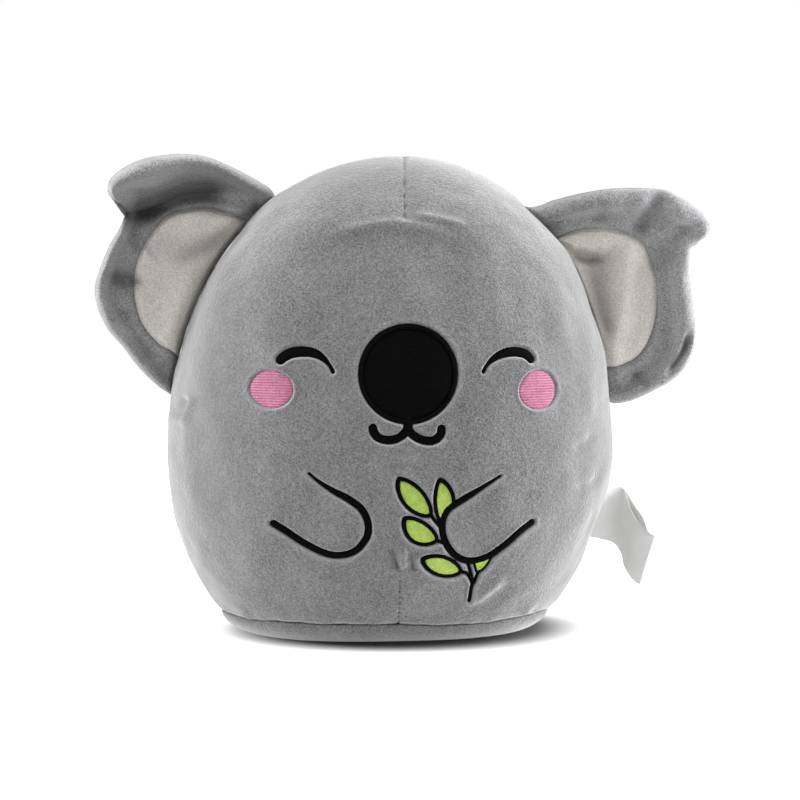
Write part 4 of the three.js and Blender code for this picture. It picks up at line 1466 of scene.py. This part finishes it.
    def back(self) -> Piece:
        """The layer behind: it swells past the seam at its edge, so the seam shows from the front.

        At distance d from the edge the cloth stands 1.5·(d/2)·e^(1 - d/2) outside its place. It keeps
        layers_apart behind the front, so that deep folds don't come through.
        """
        edge = np.vstack([self.edge_path, self.root_path[1:-1][::-1]])
        middle = np.array(self.centre)
        shares = np.concatenate([np.linspace(0.02, 0.7, 24), 0.7 + 0.3 * np.linspace(0, 1, 24)[1:] ** 0.75])
        rings = rings_about(middle, resample_loop(edge, self.spokes), shares)
        grid = rings.reshape(-1, 2)
        away, _, root = self.measure(grid)
        push = 1.5 * (away / 2) * np.exp(1 - away / 2) * smoothstep(root, 2.0, 14.0)
        seen = grid + unit(grid - middle) * push[:, None]
        swell = 1.9 * quarter_round(away, 3.0) + 4.6 * smoothstep(away, 0, 18)
        place = joined(grid[:, 0], np.full(len(grid), 30.0), grid[:, 1])
        swell += 0.5 * undulation(place, 26.0, 12) * smoothstep(away, 0, 8)
        y = self.middle(grid) - 0.1 + swell * smoothstep(root, -3.0, 8.0)
        y = np.maximum(y, self.front(grid) + self.layers_apart * smoothstep(away, 0.0, 4.0))
        thick = 0.1 + 0.9 * smoothstep(away, 0.0, 4.0)
        faces = [joined(seen[:, 0], depth, seen[:, 1]) for depth in (y, y - thick)]
        outer, under = (face.reshape(*rings.shape[:2], 3) for face in faces)
        return closed_rows(f"{self.side.word}_ear_back_plush", np.concatenate([outer, under[-3::-3]]))

    def build(self) -> None:
        """Makes the ear's three pieces of cloth over its padding."""
        word = self.side.word
        for piece, slot, nodes, finish in (
            (self.rim(), "ear_plush", [f"{word}_ear_rim"], EAR_PLUSH_PAINTED_LIGHTER),
            (self.lining(), "lining_plush", [f"{word}_ear_lining"], LINING_PLUSH),
            (self.back(), "ear_plush", [f"{word}_ear_back", f"{word}_ear_padding"], EAR_PLUSH_PAINTED_LIGHTER),
        ):
            settle(piece, nodes, finish, f"ear_{word}")


RIGHT_EAR = Ear(
    Side.RIGHT,
    places(
        -105, 119, 3.6, -113.4, 123.6, 4.6, -119.2, 129.2, 5.2, -125, 135.7, 5.4, -131.4, 144.7, 5.4,
        -138.4, 153, 5.4, -142.9, 162.2, 5.2, -144.8, 170, 5, -144.5, 176.5, 4.8, -141.5, 185.4, 4.4,
        -137.4, 195.1, 4.2, -132.4, 203.6, 3.6, -129.8, 211.8, 3.4, -134.2, 216.8, 5, -137.6, 220.4, 7,
        -138.2, 224.2, 8.4, -136.2, 228.7, 9.6, -130.9, 233.1, 11, -122.8, 237.2, 11.4,
        -113.1, 239.4, 9.2, -101.8, 240.4, 6.8, -90.5, 239.2, 5.4, -78.3, 234.8, 5.4, -66.1, 228.7, 6,
        -58, 224.3, 6.2, -51, 218, 5.2,
        size=3,
    ),
    places(
        -102.3, 138.5, -107, 142, -112.9, 145.5, -120.9, 154.5, -124.9, 165.9, -125.5, 177.2,
        -123.1, 189.4, -117.4, 199.9, -108.4, 210.1, -98.7, 212.9, -89, 213.6, -77.6, 210.9,
        -67.4, 206.8, -62, 205.4,
    ),
    (-107.7, 177.8),
    24.0,
    0.3,
    (
        Crease(places(-138, 210.6, -126, 211, -114, 214.6, -100, 220.5, -86, 221.5, -72, 216), 8, 5.6),
        Crease(places(-141, 211.6, -131, 210.6, -120, 212, -106, 217.6), 4, 2.8),
        Crease(places(-130.4, 212, -127.9, 205.3, -125.1, 198, -123.1, 188.7), 2.6, 2.8),
        Crease(places(-142, 182, -135, 178.8, -128, 178, -118, 180), 3.4, 3.6),
        Crease(places(-141, 172, -134, 168, -129, 158), -2, 5),
        Crease(places(-128, 150, -122, 143, -116, 134), 1.4, 3.4),
        Crease(places(-34, 220, -56, 209.6, -72, 202, -90, 195, -108, 187), 5, 4.4),
        Crease(places(-40, 226, -66, 213, -84, 206.4, -104, 200), -1.6, 5),
    ),
    nap=0.65,
    lip_height=1.7,
    lip_crest=0.62,
)

LEFT_EAR = Ear(
    Side.LEFT,
    places(
        113.4, 115.4, 3.6, 120.4, 113.7, 4.6, 127.9, 115, 5.6, 134.2, 117.6, 6.2, 140.2, 120.8, 6.5,
        146.2, 124.2, 6.7, 151.8, 128.6, 6.9, 156.6, 135, 7, 159.7, 143, 7.2, 160.5, 151, 7.3,
        159.8, 158.5, 7.4, 158.6, 167, 7.4, 157, 175.9, 7.2, 156.2, 184.9, 6.8, 156.9, 193, 6.2,
        161, 196.8, 6.4, 164.8, 200.6, 7, 165.7, 205.6, 7.6, 162.8, 210.8, 8, 157.2, 215.2, 8.4,
        150.8, 219.4, 8.4, 143.8, 222.5, 8, 135.1, 223.5, 7.6, 126, 223.8, 7.6, 114, 223.3, 7.6,
        100.5, 221, 7.4, 87.7, 217.7, 6.8, 76, 214.4, 5.6, 65.4, 218, 4,
        size=3,
    ),
    places(
        112, 133, 116, 132.8, 120.5, 133.1, 128.1, 136.1, 133.4, 140.9, 137.5, 148.4, 140.4, 158.8,
        140.6, 170, 139.5, 179.7, 136.8, 187.9, 133, 195.4, 126.9, 199.9, 118.6, 202.5, 109.6, 203.6,
        100.5, 202.9, 93, 200.6, 86, 197,
    ),
    (118.4, 169.3),
    17.0,
    0.55,
    (
        Crease(places(143, 227, 138, 216.6, 132.4, 207, 127, 197), 3.4, 4.4),
        Crease(places(131, 224, 127, 213, 121, 203), -1.6, 4),
        Crease(places(152, 219, 147, 208, 142, 194), -1.6, 5),
        Crease(places(162, 202, 155, 201, 148, 203), 1.2, 4),
        Crease(places(152, 190, 151, 176, 151.4, 160, 150, 146), -1.4, 4.4),
        Crease(places(112, 218, 110, 212, 108, 206), 1.6, 3.6),
        Crease(places(56, 207, 78, 198.4, 95, 191.6, 108, 188.8, 122, 192), 6.5, 3.4),
        Crease(places(88, 199.6, 94, 196, 101, 193.4), -2.4, 1.3),
        Crease(places(106, 196, 108, 182, 110.4, 164, 113, 140), 6, 7.5),
        Crease(places(125, 206, 125.6, 186, 123.6, 166, 119, 144), -4.2, 6),
        Crease(places(143, 128, 149, 134.6, 153.6, 142, 156.6, 153), 4.6, 2),
        Crease(places(128, 132, 132, 126, 136, 121), 1.6, 3),
    ),
    nap=0.15,
    root_low=115.4,
)


@dataclass
class CareLabel:
    """A satin ribbon doubled over, caught in the side seam and curling toward the viewer.

    upper and lower are the front layer's two long edges from the seam to the fold, in space. The back
    layer runs behind it, standing off by a bulge that is sin²(π·share^1.7) of the way along.
    """

    upper: Path = places(
        110.6, 13, 73.4, 116, 14.4, 72.5, 121.4, 16, 71.4, 125, 16.4, 70, 126.7, 14, 67.3, 127.1, 5, 61,
        129, -5, 55.2, 131.7, -13, 50.6, 135.5, -18, 48.4,
        size=3,
    )
    lower: Path = places(
        103, 13, 45.3, 108.4, 14.4, 44.4, 113.7, 16, 43.1, 121, 17.5, 40.7, 124.6, 15, 36,
        125.1, 9, 30.1, 127.1, 4.5, 25.6, 129.3, 1, 22.8, 131, -2, 21.8,
        size=3,
    )
    bulge: float = 4.0
    thickness: float = 0.28
    slack: float = 0.25

    def layer(self, steps: int, columns: int, behind: bool) -> Array:
        """One layer as a grid of points, with a slight crosswise bow and a finer ripple."""
        upper, lower = smooth_curve(self.upper, steps), smooth_curve(self.lower, steps)
        across = np.linspace(0, 1, columns)
        grid = upper[:, None] + across[None, :, None] * (lower - upper)[:, None]
        out = unit(np.cross(np.gradient(upper, axis=0), lower - upper))
        share = np.linspace(0, 1, steps)
        apart = np.full(steps, -self.slack)
        if behind:
            apart = self.slack + self.bulge * np.sin(np.pi * share**1.7) ** 2
        bow = 0.7 * np.sin(np.pi * across)[None, :] * np.sin(np.pi * share)[:, None]
        ripple = 0.15 * np.sin(9 * across)[None, :] * np.sin(14 * share + 0.6)[:, None]
        return grid + out[:, None] * (apart[:, None] + bow + ripple)[..., None]

    def build(self) -> None:
        """Joins the two layers at the fold and gives the ribbon its thickness."""
        front, back = self.layer(80, 28, False), self.layer(80, 28, True)[::-1]
        fold = (front[-1] + back[0]) / 2 + unit(front[-1] - front[-2]) * 0.5
        path = np.concatenate([front, fold[None], back])
        out = unit(np.cross(np.gradient(path, axis=0), np.gradient(path, axis=1))) * self.thickness / 2
        rings = np.concatenate([path + out, (path - out)[:, ::-1]], axis=1)
        label = closed_rows("care_label_ribbon", rings)
        settle(label, ["care_label"], LABEL_RIBBON, "label")


@dataclass
class Studio:
    """A white sweep, lights overhead, in front and at both sides, and the photograph's camera.

    The floor's shadow is full within shadow_near of shadow_middle, and gone from shadow_far on, where
    distances along X count floor_squash of their length.
    """

    azimuth: float = -5.7
    elevation: float = 4.0
    distance: float = 1.4
    target: Triple = (0.008, 0.0, 0.117)
    lens: float = 124.5
    lit_point: Triple = (0.0, 0.0, 0.12)
    floor_half: float = 6.0
    floor_squash: float = 0.92
    shadow_middle: Triple = (0.009, 0.0075, 0.0)
    shadow_near: float = 0.060
    shadow_far: float = 0.105
    ambient: float = 0.03
    bounce: float = 0.2

    def camera(self) -> None:
        """Stands the camera as far away, and aims it, as the photograph's was."""
        data = bpy.data.cameras.new("camera")
        data.lens = self.lens
        data.sensor_width = 36.0
        data.clip_start, data.clip_end = 0.05, 50.0
        made = linked("camera", data)
        a, e = math.radians(self.azimuth), math.radians(self.elevation)
        back = Vector((math.sin(a) * math.cos(e), -math.cos(a) * math.cos(e), math.sin(e)))
        target = Vector(self.target)
        aim(made, target + back * self.distance, target)
        bpy.context.scene.camera = made

    def lamp(self, name: str, place: Triple, size: tuple[float, float], power: float) -> None:
        """A rectangular light that looks at the toy's middle."""
        data = bpy.data.lights.new(name, "AREA")
        data.shape = "RECTANGLE"
        data.size, data.size_y = size
        data.energy = power
        aim(linked(name, data), Vector(place), Vector(self.lit_point))

    def floor(self) -> None:
        """A white floor that keeps the toy's shadow and fades into the white background.

        Seen by the camera it adds its own light, from nothing under the toy to full white further out, and
        its colour is painted darker under the toy as a shadow. It lights the toy evenly from below.
        """
        mesh = bpy.data.meshes.new("floor")
        r = self.floor_half
        mesh.from_pydata([(-r, -r, 0), (r, -r, 0), (r, r, 0), (-r, r, 0)], [], [(0, 1, 2, 3)])
        shader = Shader("floor_paper")
        flat = shader.stretched(shader.place(), scale=(self.floor_squash, 1.0, 1.0))
        sockets = {0: flat, 1: self.shadow_middle}
        far = shader.add("ShaderNodeVectorMath", {"operation": "DISTANCE"}, sockets, "Value")
        seen = shader.add("ShaderNodeLightPath", {}, {}, "Is Camera Ray")
        clear = far.between(self.shadow_near, self.shadow_far)
        glow = clear * seen + (1.0 - seen) * self.bounce
        light = shader.mix(glow, (0.0, 0.0, 0.0, 1.0), (1.0, 1.0, 1.0, 1.0))
        # Painted shadow: to the camera the paper's colour drops from 0.85 to 0.2 under the toy.
        shadowed_paper = shader.mix((1.0 - clear) * seen, (0.85, 0.85, 0.85, 1.0), (0.2, 0.2, 0.2, 1.0))
        shader.set(Base_Color=shadowed_paper, Roughness=0.7, Specular_IOR_Level=0.0)
        shader.set(Emission_Color=light, Emission_Strength=1.0)
        mesh.materials.append(shader.made)
        linked("floor", mesh)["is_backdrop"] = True

    def world(self) -> None:
        """Pure white to the camera, and a softer even light on the toy."""
        world = bpy.data.worlds.new("studio")
        bpy.context.scene.world = world
        world.use_nodes = True
        nodes = Nodes(world.node_tree)
        back = nodes.tree.nodes["Background"]
        seen = nodes.add("ShaderNodeLightPath", {}, {}, "Is Camera Ray")
        nodes.feed(back.inputs["Color"], (1.0, 1.0, 1.0, 1.0))
        nodes.feed(back.inputs["Strength"], seen * (1.0 - self.ambient) + self.ambient)

    def build(self) -> None:
        """Sets the scene up."""
        self.camera()
        self.world()
        self.floor()
        self.lamp("overhead_right_light", (-0.6, -0.2, 1.0), (0.4, 0.4), 6.0)
        self.lamp("overhead_left_light", (0.6, -0.2, 1.0), (0.4, 0.4), 5.5)
        self.lamp("overhead_back_light", (0.0, 0.4, 1.2), (0.8, 0.5), 5.2)
        self.lamp("right_front_light", (-0.75, -0.5, 0.6), (0.4, 0.6), 2.0)
        self.lamp("left_front_light", (0.95, -0.35, 0.3), (0.5, 0.8), 3.4)
        self.lamp("right_side_light", (-1.1, 0.05, 0.12), (0.6, 1.0), 14.0)
        self.lamp("left_side_light", (1.1, 0.03, 0.12), (0.6, 1.0), 22.0)
        bpy.context.scene.view_settings.view_transform = "Standard"


def corners() -> list[list[float]]:
    """The shown object's lowest and highest corner as plain lists."""
    return [list(corner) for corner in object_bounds()]


def main() -> None:
    """Builds the toy piece by piece."""
    logging.basicConfig(level=logging.INFO, format="%(message)s")
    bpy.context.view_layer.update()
    Studio().build()
    StuffedBody().build()
    Embroidery().build()
    RIGHT_EAR.build()
    LEFT_EAR.build()
    CareLabel().build()


if __name__ == "__main__":
    main()
